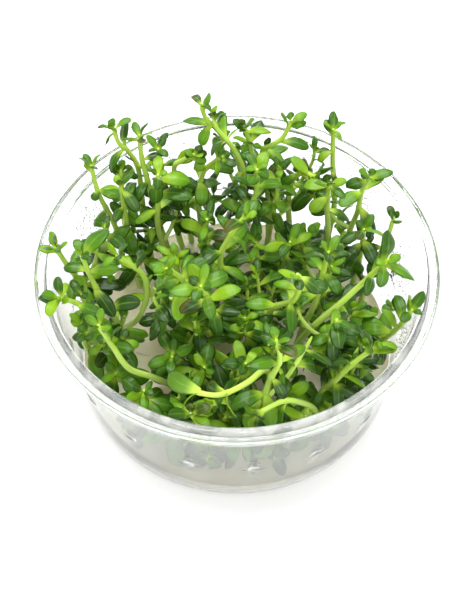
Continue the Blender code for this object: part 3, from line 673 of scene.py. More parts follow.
def guide_mesh(name, points, edges, values):
    """Points and edges that carry one value or vector each under every name in values."""
    mesh = bpy.data.meshes.new(name)
    mesh.from_pydata([tuple(p) for p in points], edges, [])
    for label, column in values.items():
        is_vector = isinstance(column[0], Vector)
        attribute = mesh.attributes.new(label, "FLOAT_VECTOR" if is_vector else "FLOAT", "POINT")
        if is_vector:
            attribute.data.foreach_set("vector", [number for one in column for number in one])
        else:
            attribute.data.foreach_set("value", column)
    return mesh


def add_piece(name, mesh, node):
    """A finished piece in the place of a solid."""
    thing = bpy.data.objects.new(name, mesh)
    bpy.context.scene.collection.objects.link(thing)
    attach(thing, "root")
    if node:
        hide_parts(node)
    return thing


def mesh_of(name, bm, material, smooth_angle=40):
    bmesh.ops.recalc_face_normals(bm, faces=bm.faces)
    mesh = bpy.data.meshes.new(name)
    bm.to_mesh(mesh)
    bm.free()
    mesh.materials.append(material)
    mesh.shade_smooth()
    mesh.set_sharp_from_angle(angle=math.radians(smooth_angle))
    return mesh


def turned(outline, sides):
    """A closed solid turned about the Z axis from an outline that starts and ends on it."""
    bm = bmesh.new()
    points = [bm.verts.new((r, 0.0, z)) for r, z in outline]
    edges = [bm.edges.new(pair) for pair in zip(points, points[1:])]
    bmesh.ops.spin(
        bm, geom=points + edges, cent=(0, 0, 0), axis=(0, 0, 1), angle=math.tau, steps=sides,
        use_merge=True,
    )
    bmesh.ops.remove_doubles(bm, verts=bm.verts, dist=0.005 * MM)
    return bm


def fillet(radius_out, height, size, steps):
    """Points of the quarter round between a flat foot and a wall, foot first."""
    turns = [math.radians(90 * i / steps) for i in range(steps + 1)]
    middle, top = radius_out - size, height + size
    return [(middle + size * math.sin(a), top - size * math.cos(a)) for a in turns]


def eased(outline, size, steps=3):
    """An outline with each inner corner rounded a little."""
    found = [outline[0]]
    for before, corner, after in zip(outline, outline[1:], outline[2:]):
        a, b, c = Vector(before), Vector(corner), Vector(after)
        back, on = a - b, c - b
        bend = math.pi - back.angle(on) if back.length and on.length else 0.0
        if bend < math.radians(20):
            found.append(corner)
            continue
        reach = min(size, back.length * 0.45, on.length * 0.45)
        start, end = b + back.normalized() * reach, b + on.normalized() * reach
        for i in range(steps + 1):
            t = i / steps
            point = start * (1 - t) ** 2 + b * 2 * t * (1 - t) + end * t * t
            found.append((point.x, point.y))
    return found + [outline[-1]]


def inner_radius(z, foot=BASE_RADIUS):
    """Radius of the cup's inner wall at a height, or of one that stands on a smaller foot."""
    share = (z - FOOT_FILLET) / (WALL_TOP - FOOT_FILLET)
    return foot - WALL + (WALL_TOP_RADIUS - foot) * share


def cup_outline():
    """Foot, outer wall, the rim's outer lip, the ledge for a lid, the inner bead and the inner
    wall."""
    band = [math.sin(math.radians(-90 + 18 * i)) * LUG_THICKNESS / 2 for i in range(11)]
    heights = [9 * MM, 14 * MM] + [LUG_HEIGHT + z for z in band] + [26 * MM, 32 * MM, 38 * MM]
    wall = [(inner_radius(z) + WALL, z) for z in heights]
    outer = [(0.0, 0.0)] + fillet(BASE_RADIUS, 0.0, FOOT_FILLET, 8) + wall
    ledge = CUP_HEIGHT - LEDGE_DEPTH
    rim = [
        (WALL_TOP_RADIUS, WALL_TOP),
        (WALL_TOP_RADIUS + LIP_STEP, ledge - WALL),
        (RIM_RADIUS - 2 * LIP_EASE, ledge - WALL),
        (RIM_RADIUS, ledge - LIP_EASE),
        (RIM_RADIUS, CUP_HEIGHT - LIP_EASE),
        (RIM_RADIUS - LIP_EASE, CUP_HEIGHT),
        (RIM_RADIUS - WALL, CUP_HEIGHT),
        (RIM_RADIUS - WALL - LIP_EASE, ledge),
        (RIM_RADIUS - BEAD_FROM, ledge),
        (RIM_RADIUS - BEAD_FROM - BEAD_WIDTH * 0.4, CUP_HEIGHT),
        (RIM_RADIUS - BEAD_FROM - BEAD_WIDTH * 0.65, CUP_HEIGHT + BEAD_HEIGHT),
        (RIM_RADIUS - BEAD_FROM - BEAD_WIDTH, CUP_HEIGHT),
    ]
    inside = [(inner_radius(z), z) for z in (38 * MM, 30 * MM, 22 * MM, 14 * MM)]
    inner = fillet(BASE_RADIUS - WALL, WALL, FOOT_FILLET - WALL, 6)[::-1] + [(0.0, WALL)]
    return outer + eased([outer[-1]] + rim + [inside[0]], 0.35 * MM)[1:-1] + inside + inner


def push_out_lugs(bm):
    """Raises the row of lens-shaped lugs on the outer wall."""
    for vert in bm.verts:
        x, y, z = vert.co
        reach = math.hypot(x, y)
        if abs(reach - inner_radius(z) - WALL) > 0.05 * MM or abs(z - LUG_HEIGHT) > LUG_THICKNESS:
            continue
        turns = (math.degrees(math.atan2(y, x)) - LUG_FIRST_ANGLE) / (360 / LUG_COUNT)
        beside = math.radians((turns - round(turns)) * 360 / LUG_COUNT) * reach / (LUG_LENGTH / 2)
        above = (z - LUG_HEIGHT) / (LUG_THICKNESS / 2)
        proud = LUG_SOFTER * LUG_PROUD * max(0.0, 1.0 - beside ** 2 - above ** 2)
        vert.co *= Vector(((reach + proud) / reach, (reach + proud) / reach, 1.0))


def make_cup():
    bm = turned(cup_outline(), CUP_SIDES)
    push_out_lugs(bm)
    add_piece("clear_cup", mesh_of("clear_cup", bm, clear_plastic(), 40), "cup")


def curve_point(points, share):
    """A point on the smooth curve through the given points, at a share of its spans."""
    span = min(int(share * (len(points) - 1)), len(points) - 2)
    t = share * (len(points) - 1) - span
    before, start, end, after = (
        points[max(span - 1, 0)], points[span], points[span + 1],
        points[min(span + 2, len(points) - 1)],
    )
    return 0.5 * (
        2 * start + (end - before) * t + (2 * before - 5 * start + 4 * end - after) * t * t
        + (3 * start - before - 3 * end + after) * t * t * t
    )


class Stem:
    """The line of one stem, measured along its length, with a frame that doesn't twist. A side
    branch is one too, thinner and not straight up at its start."""

    def __init__(self, bare, points, turn, samples=48, stoutness=1.0, rooted=True):
        points = [Vector(p) * MM for p in points]
        self.rooted = rooted
        self.stoutness = stoutness
        self.points = [curve_point(points, i / samples) for i in range(samples + 1)]
        self.reach = [0.0]
        for a, b in zip(self.points, self.points[1:]):
            self.reach.append(self.reach[-1] + (b - a).length)
        self.length = self.reach[-1]
        self.bare = bare * self.length
        self.sides = []
        side = Vector((math.cos(turn), math.sin(turn), 0.0))
        for i in range(samples + 1):
            along = self.direction(i)
            side = (side - along * side.dot(along)).normalized()
            self.sides.append(side)

    def direction(self, i):
        """Along the stem; at the root it is straight up out of the gel."""
        if i == 0 and self.rooted:
            return Vector((0.0, 0.0, 1.0))
        before, after = self.points[max(i - 1, 0)], self.points[min(i + 1, len(self.points) - 1)]
        return (after - before).normalized()

    def frame(self, distance):
        """Place, side and direction at a distance from the root."""
        i = max(k for k, reach in enumerate(self.reach[:-1]) if reach <= max(distance, 0.0))
        t = (distance - self.reach[i]) / (self.reach[i + 1] - self.reach[i])
        place = self.points[i].lerp(self.points[i + 1], t)
        along = self.direction(i).lerp(self.direction(i + 1), t).normalized()
        side = self.sides[i].lerp(self.sides[i + 1], t)
        return place, (side - along * side.dot(along)).normalized(), along

    def ring(self, distance, radius):
        """The four corners of the squarish stem."""
        place, side, along = self.frame(distance)
        across = along.cross(side)
        corners = [(1, -1), (1, 1), (-1, 1), (-1, -1)]
        return [place + radius * math.sqrt(0.5) * (u * side + v * across) for u, v in corners]

    def nodes(self):
        """Distances of the leaf nodes from the root: close together near the tip."""
        found = []
        distance = self.length - TIP_BARE
        step = INTERNODE * YOUNG_INTERNODE
        while distance > self.bare:
            found.append(distance)
            distance -= step
            step = min(step * INTERNODE_GROWTH, INTERNODE * LONGEST_INTERNODE)
        return found[::-1]

    def thickness(self, distance, nodes):
        """Radius of the round stem at a distance, swollen at its nodes."""
        share = max(distance, 0.0) / self.length
        radius = (STEM_RADIUS + (STEM_TIP_RADIUS - STEM_RADIUS) * share ** 2) * FINE_STEM_SHARE
        swell = sum(math.exp(-((distance - node) / NODE_BULGE_REACH) ** 2) for node in nodes)
        return radius * self.stoutness * (1.0 + NODE_BULGE * swell)


class Leaf:
    """One leaf: where it starts, which way it goes, and its size; angles in radians."""

    def __init__(self, place, out, along, length, width, lift, droop, age):
        self.place, self.out, self.along = place, out, along
        self.length, self.width, self.lift, self.droop, self.age = length, width, lift, droop, age
        self.across = along.cross(out)
        self.midrib = [place]
        self.uprights = []
        angle, reached = lift, 0.0
        for share, _ in LEAF_STATIONS:
            heading = math.cos(angle) * out + math.sin(angle) * along
            self.midrib.append(self.midrib[-1] + heading * (share - reached) * length)
            self.uprights.append(math.cos(angle) * along - math.sin(angle) * out)
            angle -= droop * (share - reached)
            reached = share

    def rings(self, extra=0.0):
        """Corners of the flat sections, the last one pinched to an edge. Extra makes the leaf
        fatter."""
        found = []
        for i, (_, breadth) in enumerate(LEAF_STATIONS):
            at_tip = i + 1 == len(LEAF_STATIONS)
            half = self.across * (self.width * breadth / 2 + extra)
            thick = self.uprights[i] * (extra if at_tip else LEAF_THICKNESS / 2 + extra)
            centre = self.midrib[i + 1]
            found.append([
                centre - half - thick, centre + half - thick,
                centre + half + thick, centre - half + thick,
            ])
        return found


def ring_walls(count):
    """Triangles between rings of four corners that follow one another."""
    faces = []
    for r in range(count - 1):
        for k in range(4):
            a, b = 4 * r + k, 4 * r + (k + 1) % 4
            faces += [(a, b, b + 4), (a, b + 4, a + 4)]
    return faces


def leaf_shell(base, leaf, extra):
    """Points and triangles of a leaf with the corners of its base, for testing against its
    neighbours."""
    rings = [base] + leaf.rings(extra)
    points = [p for ring in rings for p in ring]
    faces = [(0, 1, 2), (0, 2, 3)] + ring_walls(len(rings))
    last = 4 * (len(rings) - 1)
    faces += [(last, last + 1, last + 2), (last, last + 2, last + 3)]
    return points, faces


def inside_cup(points, foot=LEAVES_WITHIN):
    """Whether the points are over the gel, clear of the wall and no wider than the rim."""
    for p in points:
        reach = math.hypot(p.x, p.y)
        limit = inner_radius(p.z, foot) if p.z < OVER_RIM else RIM_RADIUS
        if reach > limit - MOUTH_MARGIN or p.z < LOWEST_LEAF:
            return False
    return True


class Thicket:
    """Everything that has grown so far, against which each new leaf is tried. What grew last is
    kept apart, so that the large tree is rebuilt only now and then."""

    def __init__(self, batch=60):
        self.batch = batch
        self.settled, self.fresh = ([], [], []), ([], [], [])
        self.trees = [None, None]

    def add(self, points, faces, owner):
        self.append(self.fresh, points, faces, owner)
        self.trees[1] = None
        if len(self.fresh[0]) > self.batch * 12:
            self.append(self.settled, self.fresh[0], self.fresh[1], None)
            self.settled[2][-len(self.fresh[2]):] = self.fresh[2]
            self.fresh = ([], [], [])
            self.trees = [None, None]

    @staticmethod
    def append(store, points, faces, owner):
        start = len(store[0])
        store[0].extend(points)
        store[1].extend(tuple(start + i for i in face) for face in faces)
        store[2].extend([owner] * len(faces))

    def is_clear(self, points, faces, owner):
        shape = BVHTree.FromPolygons(points, faces)
        for k, (places, skins, owners) in enumerate((self.settled, self.fresh)):
            if not skins:
                continue
            if self.trees[k] is None:
                self.trees[k] = BVHTree.FromPolygons(places, skins)
            if any(owners[other] != owner for _, other in shape.overlap(self.trees[k])):
                return False
        return True


def stem_rings(stem):
    """Rings of the stem from root to tip, and for each node the index of the ring below it."""
    rings, below = [stem.ring(0.0, STEM_RADIUS * FOOT_SWELL)], []
    nodes = stem.nodes()
    bends = int(nodes[0] / BEND_STEP)
    for i in range(1, bends):
        rings.append(stem.ring(nodes[0] * i / bends, STEM_RADIUS))
    for distance in nodes:
        share = distance / stem.length
        radius = (STEM_RADIUS + (STEM_TIP_RADIUS - STEM_RADIUS) * share ** 2) * NODE_SWELL
        below.append(len(rings))
        rings += [stem.ring(distance + up, radius) for up in (-NODE_HALF_HEIGHT, NODE_HALF_HEIGHT)]
    rings.append(stem.ring(stem.length, STEM_TIP_RADIUS * TIP_TAPER))
    return rings, below


def stem_shell(rings):
    return [p for ring in rings for p in ring], ring_walls(len(rings))


def open_air(stem, depth, aside=0.0):
    """A strip that stands on a stem or beside it, towards the front, which other shoots' leaves
    keep clear of."""
    points, faces = [], []
    for i in range(0, len(stem.points), 4):
        if stem.points[i].z > OPEN_ABOVE:
            front = (Vector(OPEN_FROM) - stem.points[i]).normalized()
            place = stem.points[i] + stem.direction(i).cross(front).normalized() * aside
            points += [place, place + front * depth * MM]
    for i in range(0, len(points) - 2, 2):
        faces += [(i, i + 1, i + 3), (i, i + 3, i + 2)]
    return points, faces


def free_leaf(base, out, along, age, draw, effort):
    """A leaf for one side of a node, turned a little further on each new try.
    Age runs from 0 at the tip of the stem, where leaves are small and upright, to 1 at its root."""
    centre = sum(base, Vector()) / 4
    young = max(0.0, 1.0 - age / YOUNG_UNTIL)
    length = LEAF_LENGTH * (1.0 - YOUNG_SHORTER * young) * draw.uniform(*LENGTH_SPREAD)
    length *= 1.0 - TRY_SHORTER * effort
    width = length * LEAF_WIDTH_SHARE * draw.uniform(*WIDTH_SPREAD)
    lift = LEAF_LIFT + YOUNG_LIFT * young + draw.uniform(*LIFT_SPREAD) + TRY_LIFTS[effort]
    droop = draw.uniform(*DROOP_SPREAD)
    sweep = draw.uniform(*SWEEP_SPREAD) + TRY_SWEEPS[effort]
    out = Matrix.Rotation(math.radians(sweep), 3, along) @ out
    return Leaf(centre, out, along, length, width, math.radians(lift), math.radians(droop), age)


def placed_leaf(base, end, along, age, draw, effort):
    """A leaf that ends at a given point, or near it after the first try."""
    centre = sum(base, Vector()) / 4
    reach = Vector(end) * MM - centre
    out = (reach - along * reach.dot(along)).normalized()
    droop = math.radians(draw.uniform(*PLACED_DROOP))
    first = LEAF_STATIONS[0][0]
    bent = first * droop
    straight = Vector((first, 0.0)) + Vector((math.cos(bent), -math.sin(bent))) * (1 - first)
    length = min(max(reach.length / straight.length, PLACED_LENGTH[0]), PLACED_LENGTH[1])
    length *= 1.0 - TRY_SHORTER * effort
    width = max(length * PLACED_WIDTH_SHARE * draw.uniform(*WIDTH_SPREAD), NARROWEST_PLACED)
    aimed = math.atan2(reach.dot(along), reach.dot(out)) - math.atan2(straight.y, straight.x)
    lift = min(max(math.degrees(aimed) + TRY_LIFTS[effort], PLACED_LIFT[0]), PLACED_LIFT[1])
    out = Matrix.Rotation(math.radians(TRY_SWEEPS[effort] * (1 - 2 * (effort % 2))), 3, along) @ out
    return Leaf(centre, out, along, length, width, math.radians(lift), droop, age)


def grow(shoots):
    """Every stem and its leaves as in the solids, each leaf kept clear of all that grew before
    it."""
    draw = random.Random(SEED)
    thicket = Thicket()
    stems = {}
    for name, (bare, points) in shoots.items():
        stem = Stem(bare, points, draw.uniform(0.0, math.tau))
        rings, below = stem_rings(stem)
        stems[name] = (stem, rings, below, {})
        thicket.add(*stem_shell(rings), name)
    for name, depth in OPEN_STEMS.items():
        thicket.add(*open_air(stems[name][0], depth), name)

    def put(name, node, face, shape, aim):
        """Grows a leaf on one side of a node if there is room for it."""
        stem, rings, below, leaves = stems[name]
        distance = stem.nodes()[node]
        low, high, after = rings[below[node]], rings[below[node] + 1], (face + 1) % 4
        base = [low[face], low[after], high[after], high[face]]
        for effort in range(len(TRY_LIFTS)):
            age = 1.0 - distance / stem.length
            leaf = shape(base, aim, stem.frame(distance)[2], age, draw, effort)
            points, faces = leaf_shell(base, leaf, LEAF_CLEARANCE)
            if inside_cup(points[4:]) and thicket.is_clear(points, faces, name):
                leaves[(node, face)] = leaf
                thicket.add(*leaf_shell(base, leaf, 0.0), (name, node, face))
                return

    def outward(name, node, face):
        """The direction in which one side of a stem faces."""
        stem = stems[name][0]
        _, side, along = stem.frame(stem.nodes()[node])
        return Matrix.Rotation(math.radians(90 * face), 3, along) @ side

    taken = set()
    for name, wanted in PLACED_LEAVES.items():
        stem = stems[name][0]
        for back, end in wanted:
            node = len(stem.nodes()) - 1 - back
            reach = Vector(end) * MM - stem.frame(stem.nodes()[node])[0]
            free = [face for face in range(4) if (name, node, face) not in taken]
            face = max(free, key=lambda k: outward(name, node, k).dot(reach))
            taken.add((name, node, face))
            put(name, node, face, placed_leaf, end)
    for name, (stem, _, below, _) in stems.items():
        for node in range(len(below) - 1, -1, -1):
            if name == CUT_SHOOT or any((name, node, face) in taken for face in range(4)):
                continue
            for face in ((0, 2) if node % 2 else (1, 3)):
                put(name, node, face, free_leaf, outward(name, node, face))
    return stems, thicket


def leaf_body(start, leaf, extra):
    """Points of a leaf, its start first, and the triangles of what lies beyond its start."""
    points, faces = leaf_shell([start] * 4, leaf, extra)
    return points, [tuple(i - 4 for i in face) for face in faces if min(face) >= 4]


def try_leaf(
    thicket, stem, distance, turn, length, lift, droop, draw, owner, tries=FINE_TRIES
):
    """A finer leaf at a distance along the stem, or None where there is no room. It is tried
    against other shoots in its plain form, before it is curled and folded."""
    place, side, along = stem.frame(distance)
    for effort in range(tries):
        angle = turn + math.radians(draw.uniform(*FINE_TURN) * (1 + effort))
        out = Matrix.Rotation(angle, 3, along) @ side
        size = length * (1.0 - FINE_SHORTER * effort) * draw.uniform(*FINE_LENGTH_SPREAD)
        width = max(size * draw.uniform(*FINE_WIDTH_SHARE), NARROWEST_LEAF)
        raised = lift + draw.uniform(*FINE_LIFT_SPREAD) + FINE_TRY_LIFTS[effort]
        raised = math.radians(raised)
        start = place + out * FINE_LEAF_START * MM
        age = 1.0 - distance / stem.length
        if not stem.rooted:
            age = 0.12 + 0.6 * age
        leaf = Leaf(start, out, along, size, width, raised, math.radians(droop), age)
        points, body = leaf_body(start, leaf, FINE_CLEARANCE)
        low_enough = max(p.z for p in points) < cad_high.z - TOP_MARGIN
        in_bounds = low_enough and inside_cup(points[4:], BASE_RADIUS)
        if in_bounds and thicket.is_clear(points[4:], body, owner):
            points, body = leaf_body(start, leaf, 0.0)
            thicket.add(points[4:], body, (owner, distance, turn))
            return leaf
    return None


def leaf_pair(thicket, stem, distance, turn, length, lift, draw, owner):
    pair = []
    for face in (turn, turn + math.pi):
        droop = draw.uniform(*FINE_DROOP)
        pair.append(try_leaf(thicket, stem, distance, face, length, lift, droop, draw, owner))
    return [leaf for leaf in pair if leaf]


def growing_tip(thicket, stem, draw, owner):
    """The two pairs of small leaves that close the end of a stem."""
    found = []
    for pair, (back, length, lift) in enumerate(TIP_PAIRS):
        turn = math.radians(45 + 90 * (pair + len(stem.nodes())))
        length *= draw.uniform(0.8, 1.4)
        found += leaf_pair(thicket, stem, stem.length - back, turn, length, lift, draw, owner)
    return found


def towards_wall(stem, distance, draw):
    """The turn round a stem that faces the nearest wall, give or take."""
    place, side, along = stem.frame(distance)
    wall = Vector((place.x, place.y, 0.0))
    turn = math.atan2(along.cross(side).dot(wall), side.dot(wall))
    return turn + math.radians(draw.uniform(-40, 40))


def side_branch(stem, distance, turn, draw):
    """A thin branch out of a stem, bending up to the light. It is kept off the wall, but it isn't
    tried against the other shoots."""
    place, side, along = stem.frame(distance)
    for _ in range(BRANCH_TRIES):
        out = Matrix.Rotation(turn, 3, along) @ side
        length = draw.uniform(*BRANCH_LENGTH)
        reaches = [
            out * 0.30 + along * 0.14,
            out * 0.52 + along * 0.2 + Vector((0, 0, 0.22)),
            out * draw.uniform(0.55, 0.8) + along * 0.2 + Vector((0, 0, 0.55)),
        ]
        points = [place] + [place + reach * length for reach in reaches]
        tip = points[-1]
        off_wall = math.hypot(tip.x, tip.y) < inner_radius(tip.z) - BRANCH_OFF_WALL
        if inside_cup(points[1:]) and off_wall and tip.z < BRANCH_HIGHEST:
            places = [p / MM for p in points]
            return Stem(BRANCH_BARE, places, turn, BRANCH_SAMPLES, BRANCH_STOUTNESS, False)
        turn += math.radians(61)
    return None


def fill_in(stems, thicket):
    """What the solids are too plain for: leaf pairs between the nodes, small leaves in the axils
    and at each growing tip, and thin leafy side branches low in the thicket."""
    draw = random.Random(EXTRA_SEED)
    added = {name: [] for name in stems}
    branches = {name: [] for name in stems}
    for name, depth in OPEN_STEMS.items():
        if depth >= BARE_FROM:
            for aside in (-AIR_ASIDE, 0.0, AIR_ASIDE):
                thicket.add(*open_air(stems[name][0], LONGER_AIR * depth, aside), name)
    for name, (stem, _, _, _) in stems.items():
        added[name] += growing_tip(thicket, stem, draw, name)
    for name, (stem, _, _, _) in stems.items():
        nodes = stem.nodes()
        for low, high in zip(nodes, nodes[1:]):
            distance = (low + high) / 2
            height = stem.frame(distance)[0].z
            if high - low > SMALLEST_GAP_BETWEEN_PAIRS and height < HIGHEST_PAIR_BETWEEN_NODES:
                age = 1.0 - distance / stem.length
                length = 4.6 * MM + 3.4 * MM * min(1.0, 2.5 * age)
                turn = math.radians(45 + draw.choice((0, 90)))
                lift = 34 - 40 * age
                added[name] += leaf_pair(thicket, stem, distance, turn, length, lift, draw, name)
    for name, (stem, _, _, _) in stems.items():
        if OPEN_STEMS.get(name, 0) >= BARE_FROM:
            continue
        distance = stem.nodes()[0] - LOW_PAIR_MARGIN
        crowded = stem.points[-1].y < CROWDED_BEFORE
        while distance > LOW_PAIR_MARGIN:
            place = stem.frame(distance)[0]
            if place.z < CUP_HEIGHT and draw.random() < LOW_PAIR_SHARE[crowded]:
                turn, length = draw.uniform(0, math.tau), draw.uniform(*LOW_PAIR_LENGTH) * MM
                added[name] += leaf_pair(thicket, stem, distance, turn, length, 4, draw, name)
            distance -= draw.uniform(*LOW_PAIR_STEP) * MM
        for _ in range(BRANCHES_PER_SHOOT[crowded]):
            distance = draw.uniform(0.10, 0.60) * stem.length
            branches[name].append(side_branch(stem, distance, draw.uniform(0, math.tau), draw))
    for name in FRONT_SHOOTS:
        stem = stems[name][0]
        for share in FRONT_LEAF_SHARES:
            distance = share * stem.length
            turn, droop = towards_wall(stem, distance, draw), draw.uniform(30, 90)
            leaf = try_leaf(
                thicket, stem, distance, turn, FRONT_LEAF_LENGTH, 5, droop, draw, name
            )
            added[name] += [leaf] if leaf else []
        for share in FRONT_BRANCH_SHARES:
            distance = share * stem.length
            turn = towards_wall(stem, distance, draw)
            branches[name].append(side_branch(stem, distance, turn, draw))
    for name in branches:
        branches[name] = [branch for branch in branches[name] if branch]
        shortest = SHORTEST_BRANCH_LEAF[stems[name][0].points[-1].y < CROWDED_BEFORE]
        for branch in branches[name]:
            added[name] += growing_tip(thicket, branch, draw, name)
            distance = branch.length - 3.8 * MM
            turn = 0.0
            while distance > 2.0 * MM:
                back = branch.length - distance
                length = min(shortest + 0.40 * back, LONGEST_BRANCH_LEAF)
                lift = 26 - 900 * back
                added[name] += leaf_pair(thicket, branch, distance, turn, length, lift, draw, name)
                turn += math.pi / 2
                distance -= draw.uniform(4.4, 6.4) * MM
    for name, (stem, _, _, _) in stems.items():
        for distance in stem.nodes():
            for quarter in range(4):
                if draw.random() < AXIL_SHARE:
                    turn = math.radians(90 * quarter + 45)
                    leaf = try_leaf(
                        thicket, stem, distance + 0.9 * MM, turn, draw.uniform(2.6, 5.0) * MM,
                        draw.uniform(20, 60), 35, draw, name, 3,
                    )
                    added[name] += [leaf] if leaf else []
    return added, branches


def shoot_grower(material):
    """The tree that turns a shoot's guide into stem and leaves. The guide's lines are stems and
    roots; its loose points are leaves, whose own values say how each one lies."""
    tree, given = geometry_tree(
        "shoot_grower",
        {
            "Stem sides": ("Int", STEM_SIDES),
            "Leaf points around": ("Int", LEAF_AROUND),
            "Leaf stations": ("Int", LEAF_STATION_COUNT),
            "Leaf thickness": ("Float", 0.18 * MM),
            "Petiole share": ("Float", 0.26),
            "Widest at": ("Float", 0.56),
        },
    )

    def value(name, kind="FLOAT"):
        """What the points carry under a name."""
        return tree.node("GeometryNodeInputNamedAttribute", {"data_type": kind}, {"Name": name})

    def vector(name):
        return value(name, "FLOAT_VECTOR")

    def sine(angle):
        return tree.math("SINE", angle)

    def cosine(angle):
        return tree.math("COSINE", angle)

    def circle(sides, radius):
        sockets = {"Resolution": sides, "Radius": radius}
        return tree.node("GeometryNodeCurvePrimitiveCircle", {}, sockets)

    def stored(geometry, name, number):
        settings = {"data_type": "FLOAT", "domain": "POINT"}
        sockets = {"Geometry": geometry, "Name": name, "Value": number}
        return tree.node("GeometryNodeStoreNamedAttribute", settings, sockets)

    factor = tree.node("GeometryNodeSplineParameter")
    is_leaf = value("leafy") * 1.0
    chosen = tree.node("FunctionNodeCompare", {"operation": "GREATER_THAN"}, {0: is_leaf, 1: 0.5})
    split = {"Geometry": given["Geometry"], "Selection": chosen}
    leaf_points = tree.node("GeometryNodeSeparateGeometry", {"domain": "POINT"}, split)
    lines = Socket(tree, leaf_points.socket.node.outputs["Inverted"])

    stem_line = tree.node("GeometryNodeMeshToCurve", {}, {"Mesh": lines})
    ring = circle(given["Stem sides"], 1.0)
    stems = tree.node(
        "GeometryNodeCurveToMesh",
        {},
        {"Curve": stem_line, "Profile Curve": ring, "Scale": value("thick"), "Fill Caps": True},
    )

    spine = tree.node("GeometryNodeCurvePrimitiveLine", {}, {"End": (0.0, 0.0, 0.01)})
    resampled = {"Curve": spine, "Count": given["Leaf stations"]}
    spine = tree.node("GeometryNodeResampleCurve", {}, resampled)
    spine = stored(spine, "along", sine(factor * (math.pi / 2)) * 0.996)
    hoop = stored(circle(given["Leaf points around"], 0.001), "around", factor * math.tau)
    blank = tree.node(
        "GeometryNodeCurveToMesh", {}, {"Curve": spine, "Profile Curve": hoop, "Fill Caps": True}
    )
    copies = {"Points": leaf_points, "Instance": blank}
    leaves = tree.node("GeometryNodeInstanceOnPoints", {}, copies)
    leaves = tree.node("GeometryNodeRealizeInstances", {}, {0: leaves})

    along, around = value("along"), value("around")
    side, upper = cosine(around), sine(around)
    rise = tree.clamped((along - 0.05) / (given["Widest at"] - 0.05))
    broad = sine(rise * (math.pi / 2))
    past = tree.math("MAXIMUM", along - given["Widest at"], 0.0) / (1.0 - given["Widest at"])
    round_tip = tree.math("SQRT", 1.0 - past * past)
    breadth = (given["Petiole share"] + (1.0 - given["Petiole share"]) * broad) * round_tip
    half = value("width") * 0.5 * breadth * FINE_LEAF_BREADTH
    edge = tree.math("ABSOLUTE", side)
    wave = sine(along * 9.0 + value("tone") * 40.0) * value("ruffle") * edge
    flesh = given["Leaf thickness"] * 0.5 * (2.0 - 1.2 * broad)
    height = upper * flesh + edge * half * value("fold")
    height = height - edge * edge * half * value("roll_edge") + wave

    length, droop = value("length"), value("droop")
    start = value("lift") + 0.28 * droop
    heading = start - droop * along
    forward = length * (sine(start) - sine(heading)) / droop
    upward = length * (cosine(heading) - cosine(start)) / droop
    twist = value("twist") * along
    lateral = half * side
    raised = height * cosine(twist) + lateral * sine(twist)
    sideways = lateral * cosine(twist) - height * sine(twist)

    def scaled(direction, amount):
        sockets = {0: direction, "Scale": amount}
        return tree.node("ShaderNodeVectorMath", {"operation": "SCALE"}, sockets)

    def total(*vectors):
        result = vectors[0]
        for one in vectors[1:]:
            result = tree.node("ShaderNodeVectorMath", {"operation": "ADD"}, {0: result, 1: one})
        return result

    place = total(
        vector("start"),
        scaled(vector("out"), forward - sine(heading) * raised),
        scaled(vector("up"), upward + cosine(heading) * raised),
        scaled(vector("across"), sideways),
    )
    leaves = stored(leaves, "side", side)
    leaves = stored(leaves, "upper", upper)
    leaves = tree.node("GeometryNodeSetPosition", {}, {"Geometry": leaves, "Position": place})
    joined = tree.node("GeometryNodeJoinGeometry", {}, {0: [stems, leaves]})
    finish_tree(tree, joined, material)
    return tree.inside


